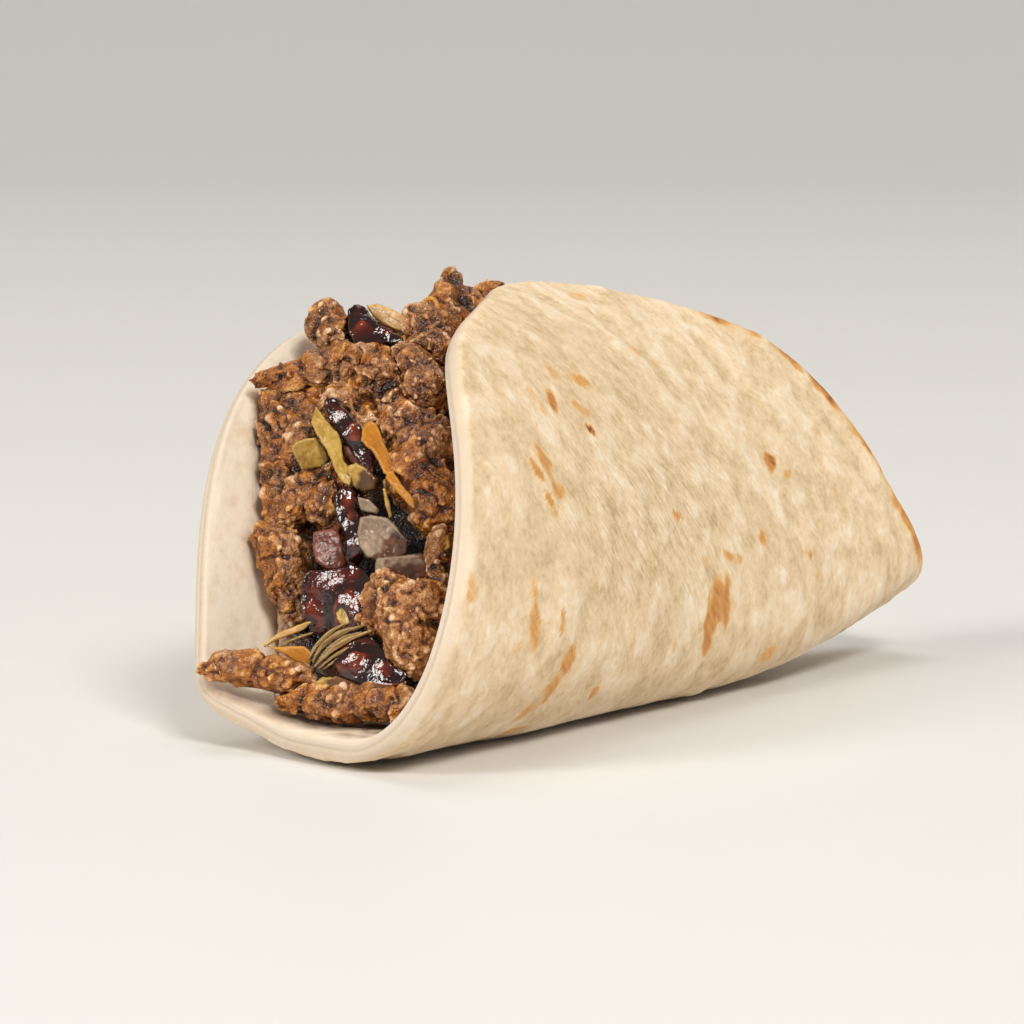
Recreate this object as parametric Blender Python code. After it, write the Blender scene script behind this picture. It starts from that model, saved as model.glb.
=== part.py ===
"""A smash taco: a round flour tortilla folded over smashed beef, cheese, onion, pickle and sauce."""

import math

import bmesh
import bpy
import numpy as np
from mathutils import Matrix, Vector, noise

# The tortilla, laid flat. Lengths are in metres, angles in degrees.
TORTILLA_DIAMETER = 0.155
TORTILLA_THICKNESS = 0.0028
RIM_ROUNDING = 0.0011
# Its outline isn't quite round: order, cosine part and sine part of each wave of the radius.
RIM_WAVES = (
    (2, -0.007, -0.007),
    (3, -0.016, 0.008),
    (4, -0.004, 0.038),
    (5, 0.002, 0.000),
    (6, 0.000, 0.013),
    (7, 0.011, -0.009),
    (8, -0.003, 0.012),
)
# One corner of the rim bulges: how far out, at what turn from the mouth's middle, and how wide.
RIM_CORNER = (0.0014, -22.5, 5.0)

# The fold runs along X, from the open mouth at -X to the closed tip at +X. The cover wall stands
# at -Y and curls over the filling, and the cradle wall lies flat first and then stands at +Y.
# Each pair gives a value at the mouth and one at the tip, and a third value adds a bulge between.
# Lean is a wall's slope, bend and knee are how far from the fold it turns up, knee width is over
# what length, and curl is how much further it turns by its rim. The floor is flat for FLOOR_FLAT,
# then rises to FLOOR_SLOPE. The fold's underside lifts off the surface in a curve towards the tip,
# and at a slight slope towards the mouth.
COVER_LEAN = (92.4, 119.8)
COVER_BEND = (0.0230, 0.0059)
COVER_CURL = (70.5, 48.9, -1.1)
CRADLE_LEAN = (84.0, 79.0, -9.0)
CRADLE_KNEE = (0.0330, 0.0040, 0.0019)
CRADLE_KNEE_WIDTH = (0.0027, 0.0103)
CRADLE_CURL = (-18.5, 11.9)
FLOOR_SLOPE = (18.8, 8.0)
FLOOR_FLAT = (0.0055, 0.003, 0.0110)
FLOOR_RISE = 0.012
FLOOR_SETTLE = 0.007
TIP_LIFT = 1.9
TIP_LIFT_START = 0.0043
MOUTH_LIFT = 0.018
MOUTH_LIFT_START = -0.039

# How finely things are divided: the sheet's grid, drawn together along the fold by FOLD_DETAIL,
# the core's points round and along, and the share of its face budget that a lump keeps.
GRID = 28
FOLD_DETAIL = 1.35
CORE_ROUND = 26
CORE_LONG = 22
DETAIL = 0.61

# The core reaches from behind the mouth towards the tip, up to a level that falls along the fold.
CORE_FRONT = -0.056
CORE_BACK = 0.060
CORE_LEVEL_AT = (-0.055, -0.035, -0.015, 0.010, 0.030, 0.050, 0.062)
CORE_LEVEL = (0.049, 0.053, 0.055, 0.051, 0.045, 0.035, 0.027)
CORE_CROWN = 0.003
CORE_CLEARANCE = 0.0008
# Shares of its length: where it starts and stops running along the fold, and how much is rounded off.
CORE_RUN = (0.12, 0.94)
CORE_CAPS = (0.16, 0.10)
# This share of each ring of points follows the walls, and the rest crosses the top.
WALL_SHARE = 0.72
# How deep it is roughened against the walls and where it lies loose, and the size of the crumbs.
CORE_ROUGH = (0.0012, 0.0046)
CORE_CRUMB = 0.011

# The filling's front slopes back: its foot stands at FRONT_FOOT and it leans by FRONT_SLOPE.
FRONT_FOOT = -0.061
FRONT_SLOPE = 0.45

# The clearance between pieces that touch, the grid on which a lump's balls are fused, and the
# angle below which a cutter's faces are joined.
GAP = 0.0004
VOXEL = 0.0007
HULL_FLAT = math.radians(5)

# Pieces in the mouth are laid out as seen by an eye in front of it, in millimetres:
# across and up on a screen SCREEN_DISTANCE away, then out from the sloping front towards the eye.
EYE_TURN = -56.6
EYE_TILT = 6.0
EYE_DISTANCE = 0.826
EYE_AIM_ACROSS = -0.0191
EYE_AIM_UP = 0.0268
SCREEN_DISTANCE = 0.863
MM = 0.001

# Diced pieces are tipped by up to this angle in radians, and their sizes vary by this share.
DICE_TIP = 0.3
DICE_UNEVEN = 0.3


def clear_scene():
    for thing in list(bpy.data.objects):
        bpy.data.objects.remove(thing, do_unlink=True)


def material(name, colour, roughness):
    made = bpy.data.materials.new(name)
    made.use_nodes = True
    shader = made.node_tree.nodes["Principled BSDF"]
    shader.inputs["Base Color"].default_value = (*colour, 1.0)
    shader.inputs["Roughness"].default_value = roughness
    shader.inputs["Metallic"].default_value = 0.0
    made.diffuse_color = (*colour, 1.0)
    return made


def add_object(name, mesh, look):
    made = bpy.data.objects.new(name, mesh)
    bpy.context.scene.collection.objects.link(made)
    mesh.materials.clear()
    mesh.materials.append(look)
    return made


def mesh_from(name, bm):
    bmesh.ops.recalc_face_normals(bm, faces=bm.faces)
    mesh = bpy.data.meshes.new(name)
    bm.to_mesh(mesh)
    bm.free()
    return mesh


def apply_modifiers(thing):
    """Replaces the object's mesh with what its modifiers make of it."""
    bpy.context.view_layer.update()
    graph = bpy.context.evaluated_depsgraph_get()
    made = bpy.data.meshes.new_from_object(thing.evaluated_get(graph))
    thing.modifiers.clear()
    thing.data = made


def keep_largest(thing):
    """Leaves only the biggest connected lump of the object's mesh."""
    bm = bmesh.new()
    bm.from_mesh(thing.data)
    bmesh.ops.remove_doubles(bm, verts=bm.verts, dist=0.00001)
    left = set(bm.verts)
    lumps = []
    while left:
        edge_of = [left.pop()]
        lump = set(edge_of)
        while edge_of:
            for edge in edge_of.pop().link_edges:
                for vert in edge.verts:
                    if vert in left:
                        left.remove(vert)
                        lump.add(vert)
                        edge_of.append(vert)
        lumps.append(lump)
    keep = max(lumps, key=len)
    bmesh.ops.delete(bm, geom=[vert for vert in bm.verts if vert not in keep], context="VERTS")
    bmesh.ops.triangulate(bm, faces=bm.faces)
    bm.to_mesh(thing.data)
    bm.free()


def blend(pair, t):
    """A value between the mouth (t = 0) and the tip (t = 1), with an optional bulge."""
    bulge = pair[2] * 4 * t * (1 - t) if len(pair) == 3 else 0.0
    return pair[0] * (1 - t) + pair[1] * t + bulge


def ease(x):
    x = np.clip(x, 0.0, 1.0)
    return x * x * (3 - 2 * x)


def wall_angle(x, arc, cover):
    """The wall's slope in degrees, arc metres up from the fold line at x."""
    half = TORTILLA_DIAMETER / 2
    t = (x + half) / TORTILLA_DIAMETER
    if cover:
        bend = np.tanh(arc / blend(COVER_BEND, t))
        return blend(COVER_LEAN, t) * bend + blend(COVER_CURL, t) * (arc / half) ** 2
    knee, width = blend(CRADLE_KNEE, t), blend(CRADLE_KNEE_WIDTH, t)
    step = 0.5 * (1 + np.tanh((arc - knee) / width))
    first = 0.5 * (1 + np.tanh(-knee / width))
    step = (step - first) / (1 - first)
    beyond = arc - blend(FLOOR_FLAT, t)
    floor = blend(FLOOR_SLOPE, t) * ease(beyond / FLOOR_RISE) * (1 - step)
    wall = blend(CRADLE_LEAN, t) * step + blend(CRADLE_CURL, t) * (arc / half) ** 2
    return (floor + wall) * ease(beyond / FLOOR_SETTLE)


def wall_points(x, across, inset=0.0):
    """Points of the folded tortilla's middle surface.

    x and across are its flat coordinates, with across > 0 on the cover wall, which leans
    over the filling at -Y, and < 0 on the cradle wall. Inset moves them inwards.
    """
    x, across = np.broadcast_arrays(np.asarray(x, float), np.asarray(across, float))
    points = np.empty(x.shape + (3,))
    steps = (np.arange(60) + 0.5) / 60
    for cover in (True, False):
        side = across >= 0 if cover else across < 0
        u, arc = x[side][:, None], np.abs(across[side])[:, None]
        angle = np.radians(wall_angle(u, arc * steps, cover))
        end = np.radians(wall_angle(u, arc, cover))[:, 0]
        run = (np.cos(angle) * arc / 60).sum(axis=1)
        height = (np.sin(angle) * arc / 60).sum(axis=1)
        sign = -1.0 if cover else 1.0
        lift = TIP_LIFT * np.maximum(u[:, 0] - TIP_LIFT_START, 0) ** 2
        lift += MOUTH_LIFT * np.maximum(MOUTH_LIFT_START - u[:, 0], 0)
        y = sign * (run - inset * np.sin(end))
        points[side] = np.stack([u[:, 0], y, height + lift + inset * np.cos(end)], axis=-1)
    return points


def rim_radius(turn):
    wave = sum(a * np.cos(k * turn) + b * np.sin(k * turn) for k, a, b in RIM_WAVES)
    bulge, at, wide = RIM_CORNER
    corner = bulge * np.exp(-(((np.degrees(turn) - at) / wide) ** 2))
    return TORTILLA_DIAMETER / 2 * (1 + wave) + corner


def flat_disc(a, b):
    """Spreads the square -1..1 over the tortilla's outline: (x, across)."""
    b = np.sign(b) * np.abs(b) ** FOLD_DETAIL
    big = np.maximum(np.abs(a), np.abs(b)) + 1e-12
    wide = np.abs(a) > np.abs(b)
    part = np.where(wide, b, a) / big * math.pi / 4
    x = np.where(wide, np.sign(a) * np.cos(part), np.sin(part))
    y = np.where(wide, np.sin(part), np.sign(b) * np.cos(part))
    turn = np.arctan2(y, -x)
    radius = rim_radius(turn) * big
    return -radius * np.cos(turn), radius * np.sin(turn)


def make_tortilla(look):
    """A round sheet, folded, thickened and rounded along its rim."""
    bm = bmesh.new()
    bmesh.ops.create_grid(bm, x_segments=GRID, y_segments=GRID, size=1.0)
    flat = np.array([vert.co[:] for vert in bm.verts])
    x, across = flat_disc(flat[:, 0], flat[:, 1])
    for vert, point in zip(bm.verts, wall_points(x, across)):
        vert.co = point
    bmesh.ops.recalc_face_normals(bm, faces=bm.faces)
    mesh = bpy.data.meshes.new("tortilla")
    bm.to_mesh(mesh)
    bm.free()
    made = add_object("tortilla", mesh, look)
    solidify = made.modifiers.new("thickness", "SOLIDIFY")
    solidify.thickness = TORTILLA_THICKNESS
    solidify.offset = 0.0
    bevel = made.modifiers.new("rounding", "BEVEL")
    bevel.width = RIM_ROUNDING
    bevel.segments = 2
    bevel.limit_method = "ANGLE"
    bevel.angle_limit = math.radians(60)
    apply_modifiers(made)
    return made


def lumpy(point, scale, seed):
    """Noise of about -1 to 1 in three octaves, for a crumbled surface."""
    place = Vector(point) / scale + Vector((seed * 3.1, seed * 1.7, seed * 2.3))
    total = noise.noise(place) + 0.5 * noise.noise(place * 2.1) + 0.25 * noise.noise(place * 4.3)
    return total / 1.2


def arc_at_height(x, height, cover):
    """How far up the wall the filling reaches at x, stopping short of the rim."""
    half = TORTILLA_DIAMETER / 2
    top = math.sqrt(max(half**2 - x**2, 0.0)) - 0.006
    arcs = np.linspace(0.001, max(top, 0.002), 60)
    points = wall_points(np.full(60, x), arcs if cover else -arcs)
    low = points[:, 2] < height
    return arcs[np.count_nonzero(low) - 1] if low.any() else arcs[0]


def make_core(look):
    """The crumbled beef behind the pieces that show in the mouth: a sphere stretched into the fold."""
    bm = bmesh.new()
    bmesh.ops.create_uvsphere(bm, u_segments=CORE_ROUND, v_segments=CORE_LONG, radius=1.0)
    inset = TORTILLA_THICKNESS / 2 + GAP + CORE_CLEARANCE
    for vert in bm.verts:
        along = math.acos(max(-1.0, min(1.0, -vert.co.z))) / math.pi
        cap = min(1.0, along / CORE_CAPS[0], (1 - along) / CORE_CAPS[1])
        scale = (1 - (1 - cap) ** 3) ** (1 / 3)
        x = float(np.interp(along, CORE_RUN, (CORE_FRONT, CORE_BACK)))
        level = float(np.interp(x, CORE_LEVEL_AT, CORE_LEVEL))
        cover_top = arc_at_height(x, level, True)
        cradle_top = arc_at_height(x, level, False)
        turn = math.atan2(vert.co.y, vert.co.x) / (2 * math.pi) % 1.0
        walls = np.array([cover_top, 0.6 * cover_top, 0.2 * cover_top, -0.2 * cradle_top])
        walls = np.append(walls, [-0.6 * cradle_top, -cradle_top])
        ring = wall_points(np.full(6, x), walls, inset)
        middle = ring.mean(axis=0)
        if turn < WALL_SHARE:
            across = cover_top + (-cradle_top - cover_top) * turn / WALL_SHARE
            point = wall_points(np.array([x]), np.array([across]), inset)[0]
            loose = 0.0
        else:
            over = (turn - WALL_SHARE) / (1 - WALL_SHARE)
            point = ring[5] * (1 - over) + ring[0] * over
            loose = math.sin(math.pi * over)
            point[2] += CORE_CROWN * loose
        point = middle + (point - middle) * scale
        point[0] += FRONT_SLOPE * point[2] * max(0.0, 1 - along * 1.4)
        loose = max(loose, 1 - scale)
        rough = lumpy(point, CORE_CRUMB, 4)
        inwards = Vector(middle - point).normalized()
        dent = abs(rough) * CORE_ROUGH[0] * (1 - loose) + rough * CORE_ROUGH[1] * loose
        vert.co = Vector(point) + inwards * dent
    return add_object("beef_core", mesh_from("beef_core", bm), look)


def eye_axes():
    turn, tilt = math.radians(EYE_TURN), math.radians(EYE_TILT)
    flat = math.cos(tilt)
    towards = Vector((math.sin(turn) * flat, -math.cos(turn) * flat, math.sin(tilt)))
    right = Vector((math.cos(turn), math.sin(turn), 0.0))
    return right, towards.cross(right), towards


def mouth_spot(across, up, out):
    """The point of the filling's front at this place on the eye's screen, moved out towards the eye."""
    right, upward, towards = eye_axes()
    aim = right * EYE_AIM_ACROSS + upward * EYE_AIM_UP
    eye = aim + towards * EYE_DISTANCE
    ray = (right * across * MM + upward * up * MM - towards * SCREEN_DISTANCE).normalized()
    reach = FRONT_FOOT + FRONT_SLOPE * eye.z - eye.x
    distance = reach / (ray.x - FRONT_SLOPE * ray.z)
    return eye + ray * distance - ray * out * MM


def mouth_turn(roll=0.0):
    """Turns a piece's own axes to the eye's: X across, Y up and Z out, rolled anticlockwise."""
    right, upward, towards = eye_axes()
    axes = Matrix((right, upward, towards)).transposed().to_4x4()
    return axes @ Matrix.Rotation(math.radians(roll), 4, "Z")


def roughen(thing, size, depth, seed):
    for vert in thing.data.vertices:
        vert.co += vert.normal * depth * lumpy(vert.co, size, seed)


def make_lump(name, lumps, look, faces, rough=0.9, seed=1, grain=4.0, swell=1.2):
    """A solid grown from overlapping balls, then roughened and thinned out to about so many faces.

    Each ball is (across, up, out, half width, half height, half depth) in mm. Rough is how deep
    the roughening goes and grain the size of its crumbs, also in mm.
    """
    bm = bmesh.new()
    for across, up, out, wide, high, deep in lumps:
        place = Matrix.Translation(mouth_spot(across, up, out)) @ mouth_turn()
        stretch = Matrix.Diagonal((wide * swell * MM, high * swell * MM, deep * MM, 1.0))
        bmesh.ops.create_icosphere(bm, subdivisions=3, radius=1.0, matrix=place @ stretch)
    made = add_object(name, mesh_from(name, bm), look)
    remesh = made.modifiers.new("fuse", "REMESH")
    remesh.mode = "VOXEL"
    remesh.voxel_size = VOXEL
    apply_modifiers(made)
    keep_largest(made)
    roughen(made, grain * MM, rough * MM, seed)
    now = len(made.data.polygons)
    if now > faces:
        thin = made.modifiers.new("thin out", "DECIMATE")
        thin.ratio = DETAIL * faces / now
        thin.use_collapse_triangulate = True
        apply_modifiers(made)
    keep_largest(made)
    return made


def make_strip(name, path, widths, thickness, look):
    """A shred: a flattened tube along a path of (across, up, out) points, with its half widths, in mm."""
    count = 8
    at = np.linspace(0, len(path) - 1, count)
    line = np.stack([np.interp(at, range(len(path)), column) for column in zip(*path)], axis=1)
    half = np.interp(at, range(len(widths)), widths)
    half = half * (1 - np.abs(np.linspace(-0.97, 0.97, count)) ** 4) ** 0.5
    spots = [mouth_spot(*point) for point in line.tolist()]
    towards = eye_axes()[2]
    bm = bmesh.new()
    bmesh.ops.create_cone(bm, cap_ends=True, segments=6, radius1=1.0, radius2=1.0, depth=1.0)
    long_edges = [edge for edge in bm.edges if abs(edge.verts[0].co.z - edge.verts[1].co.z) > 0.5]
    bmesh.ops.subdivide_edges(bm, edges=long_edges, cuts=count - 2)
    for vert in bm.verts:
        step = round((vert.co.z + 0.5) * (count - 1))
        before, after = spots[max(step - 1, 0)], spots[min(step + 1, count - 1)]
        forward = (after - before).normalized()
        side = forward.cross(towards).normalized()
        front = side.cross(forward).normalized()
        wide = half[step] * MM
        deep = min(thickness / 2, half[step]) * MM
        vert.co = spots[step] + side * vert.co.x * wide + front * vert.co.y * deep
    bmesh.ops.triangulate(bm, faces=bm.faces)
    return add_object(name, mesh_from(name, bm), look)


def make_dice(name, spot, halves, roll, look, seed=1, skew=0.0):
    """A diced piece: a bevelled block, tipped and uneven. Spot and half sizes are in mm."""
    bm = bmesh.new()
    bmesh.ops.create_cube(bm, size=2.0)
    bmesh.ops.bevel(bm, geom=bm.edges[:], offset=0.45, segments=2, affect="EDGES", profile=0.5)
    tip = Matrix.Rotation(DICE_TIP * math.sin(seed * 2.4), 4, "X")
    tip = tip @ Matrix.Rotation(DICE_TIP * math.cos(seed * 1.9), 4, "Y")
    place = Matrix.Translation(mouth_spot(*spot)) @ mouth_turn(roll) @ tip
    for vert in bm.verts:
        uneven = 1 + DICE_UNEVEN * lumpy(vert.co, 1.5, seed)
        local = Vector((vert.co.x * halves[0], vert.co.y * halves[1], vert.co.z * halves[2])) * MM
        local.x += skew * local.y
        vert.co = place @ (local * uneven)
    bmesh.ops.triangulate(bm, faces=bm.faces)
    return add_object(name, mesh_from(name, bm), look)


def boxes_meet(one, other, within=0.001):
    a = np.array([vert.co[:] for vert in one.data.vertices])
    b = np.array([vert.co[:] for vert in other.data.vertices])
    return bool((a.min(0) - within < b.max(0)).all() and (b.min(0) - within < a.max(0)).all())


def make_hull(mesh):
    """Replaces the mesh with its convex hull, its nearly flat areas joined to save faces."""
    bm = bmesh.new()
    bm.from_mesh(mesh)
    shell = bmesh.ops.convex_hull(bm, input=bm.verts)
    inner = set(shell["geom_interior"]) | set(shell["geom_unused"])
    loose = [item for item in inner if isinstance(item, bmesh.types.BMVert)]
    bmesh.ops.delete(bm, geom=loose, context="VERTS")
    skin = set(shell["geom"])
    bmesh.ops.delete(bm, geom=[face for face in bm.faces if face not in skin], context="FACES")
    bmesh.ops.dissolve_limit(bm, angle_limit=HULL_FLAT, verts=bm.verts, edges=bm.edges)
    bmesh.ops.triangulate(bm, faces=bm.faces)
    bmesh.ops.recalc_face_normals(bm, faces=bm.faces)
    bm.to_mesh(mesh)
    bm.free()


def carve(thing, others, plain=False):
    """Cuts the others, each grown by the gap, out of the thing, and keeps the biggest lump left.

    Plain cuts with each one's convex hull instead, which leaves fewer faces.
    """
    near = [other for other in others if boxes_meet(thing, other)]
    if not near:
        return
    cutters = bpy.data.collections.new("cutters")
    bpy.context.scene.collection.children.link(cutters)
    for other in near:
        cutter = bpy.data.objects.new("cutter", other.data.copy())
        if plain and other.name != "tortilla":
            make_hull(cutter.data)
        for vert in cutter.data.vertices:
            vert.co += vert.normal * GAP
        cutter.hide_render = True
        cutter.display_type = "WIRE"
        cutters.objects.link(cutter)
    cut = thing.modifiers.new("make room", "BOOLEAN")
    cut.operation = "DIFFERENCE"
    cut.operand_type = "COLLECTION"
    cut.collection = cutters
    cut.solver = "EXACT"
    apply_modifiers(thing)
    for cutter in list(cutters.objects):
        bpy.data.objects.remove(cutter)
    bpy.data.collections.remove(cutters)
    keep_largest(thing)


clear_scene()

TORTILLA_LOOK = material("tortilla", (0.80, 0.67, 0.50), 0.72)
BEEF_LOOK = material("beef", (0.16, 0.07, 0.035), 0.45)
NUGGET_LOOK = material("pale_beef", (0.30, 0.14, 0.075), 0.45)
CHEESE_LOOK = material("cheese", (0.78, 0.36, 0.03), 0.35)
ONION_LOOK = material("onion", (0.42, 0.36, 0.30), 0.22)
RED_ONION_LOOK = material("red_onion", (0.28, 0.13, 0.15), 0.22)
PICKLE_LOOK = material("pickle", (0.48, 0.42, 0.13), 0.25)
SAUCE_LOOK = material("sauce", (0.06, 0.006, 0.004), 0.08)

tortilla = make_tortilla(TORTILLA_LOOK)

# Pieces that lie foremost come first: each one keeps its shape, and those behind make room for it.
toppings = [
    make_strip(
        "pickle_sliver",
        [(-30.3, 16.0, 3.5), (-28.0, 11.0, 4.5), (-24.5, 3.6, 3.5)],
        [1.1, 1.9, 1.7],
        1.6,
        PICKLE_LOOK,
    ),
    make_dice("pickle_wedge", (-30.6, 8.8, 3.0), (2.9, 2.2, 1.1), -8, PICKLE_LOOK, 3, 0.2),
    make_dice("pickle_chip", (-21.8, 5.4, 2.4), (2.0, 1.9, 1.0), 30, PICKLE_LOOK, 5),
    make_strip("pickle_tip", [(-25.6, -14.0, 4.2), (-26.1, -17.2, 4.4)], [0.7, 1.3], 1.2, PICKLE_LOOK),
    make_strip(
        "pickle_strand_long",
        [(-30.4, -23.4, 6.5), (-26.8, -19.4, 6.8), (-22.0, -17.6, 5.0)],
        [0.9, 1.1, 0.9],
        1.0,
        PICKLE_LOOK,
    ),
    make_strip(
        "pickle_strand_low",
        [(-28.4, -23.6, 7.0), (-24.4, -21.0, 6.6), (-20.6, -20.6, 5.4)],
        [0.7, 1.0, 0.7],
        0.9,
        PICKLE_LOOK,
    ),
    make_strip(
        "pickle_bit",
        [(-29.4, -26.6, 7.0), (-26.6, -25.4, 7.2), (-24.0, -24.4, 6.6)],
        [1.0, 1.4, 0.9],
        1.2,
        PICKLE_LOOK,
    ),
    make_strip(
        "cheese_strip_upper",
        [(-22.6, 14.4, 2.0), (-20.9, 9.8, 3.4), (-18.6, 4.6, 2.6)],
        [1.6, 1.8, 1.2],
        1.5,
        CHEESE_LOOK,
    ),
    make_strip(
        "cheese_strip_lower",
        [(-19.2, 6.0, 3.6), (-17.4, 3.2, 4.4), (-15.0, 0.4, 3.4)],
        [1.2, 1.5, 1.0],
        1.4,
        CHEESE_LOOK,
    ),
    make_strip(
        "cheese_flap",
        [(-40.4, -21.4, 10.5), (-35.5, -20.9, 8.5), (-30.6, -21.8, 6.5)],
        [0.9, 1.4, 1.2],
        1.1,
        CHEESE_LOOK,
    ),
    make_strip(
        "cheese_curl",
        [(-13.4, 29.4, -13.0), (-13.2, 31.6, -13.5), (-12.2, 32.8, -14.5)],
        [0.8, 1.1, 0.8],
        1.0,
        CHEESE_LOOK,
    ),
    make_dice("onion_purple", (-27.6, -6.0, 3.0), (2.4, 2.9, 1.8), 8, RED_ONION_LOOK, 7, -0.1),
    make_dice("onion_large", (-19.0, -3.9, 1.8), (4.2, 2.9, 1.8), -22, ONION_LOOK, 8, 0.15),
    make_dice("onion_shard", (-21.8, 1.2, 2.6), (1.9, 1.4, 0.9), -25, ONION_LOOK, 9),
    make_dice("onion_small", (-24.3, 8.8, 0.6), (1.8, 1.7, 1.2), 10, RED_ONION_LOOK, 10),
    make_dice("onion_lower", (-17.0, -8.8, 0.6), (4.4, 1.9, 1.6), -8, ONION_LOOK, 11, 0.2),
    make_strip(
        "onion_strand",
        [(-37.6, -20.0, 7.0), (-34.0, -18.6, 5.6), (-30.0, -16.6, 3.6)],
        [0.8, 1.2, 0.9],
        1.0,
        ONION_LOOK,
    ),
    make_strip(
        "onion_flap",
        [(-21.6, 29.9, -8.5), (-18.8, 29.6, -8.0), (-15.8, 28.4, -10.0)],
        [1.4, 2.0, 1.4],
        1.1,
        ONION_LOOK,
    ),
]

sauces = [
    make_lump(
        "sauce_main",
        [
            (-28.6, -12.0, 2.6, 3.0, 3.4, 1.9),
            (-24.6, -11.0, 2.2, 3.0, 2.6, 1.8),
            (-30.0, -16.0, 2.6, 2.1, 2.6, 1.7),
            (-24.0, -15.4, 2.4, 2.6, 2.9, 1.8),
            (-26.4, -8.6, 1.8, 3.2, 1.8, 1.5),
        ],
        SAUCE_LOOK,
        260,
        0.25,
        21,
    ),
    make_lump(
        "sauce_pool",
        [
            (-26.6, -22.0, 3.6, 2.9, 2.3, 1.9),
            (-22.2, -23.0, 3.8, 3.7, 2.9, 2.2),
            (-18.8, -24.6, 3.6, 2.3, 2.1, 1.8),
        ],
        SAUCE_LOOK,
        200,
        0.25,
        22,
    ),
    make_lump(
        "sauce_run",
        [
            (-25.4, 3.0, 1.4, 1.3, 2.2, 1.1),
            (-25.0, 0.4, 1.4, 1.4, 2.4, 1.1),
            (-24.2, -2.8, 1.4, 1.1, 2.4, 1.0),
            (-23.8, -6.0, 1.6, 1.0, 2.2, 1.0),
        ],
        SAUCE_LOOK,
        120,
        0.2,
        23,
    ),
    make_lump(
        "sauce_streak",
        [
            (-27.4, 16.0, 0.8, 2.1, 1.6, 1.2),
            (-25.6, 14.0, 1.0, 1.9, 2.0, 1.3),
            (-23.6, 11.6, 1.2, 1.6, 2.0, 1.2),
        ],
        SAUCE_LOOK,
        110,
        0.2,
        24,
    ),
    make_lump(
        "sauce_top",
        [
            (-23.2, 29.2, -7.0, 1.7, 2.4, 1.4),
            (-22.6, 26.0, -6.0, 1.8, 2.6, 1.4),
            (-19.6, 26.8, -7.6, 2.6, 1.7, 1.3),
        ],
        SAUCE_LOOK,
        130,
        0.2,
        25,
    ),
]

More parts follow.
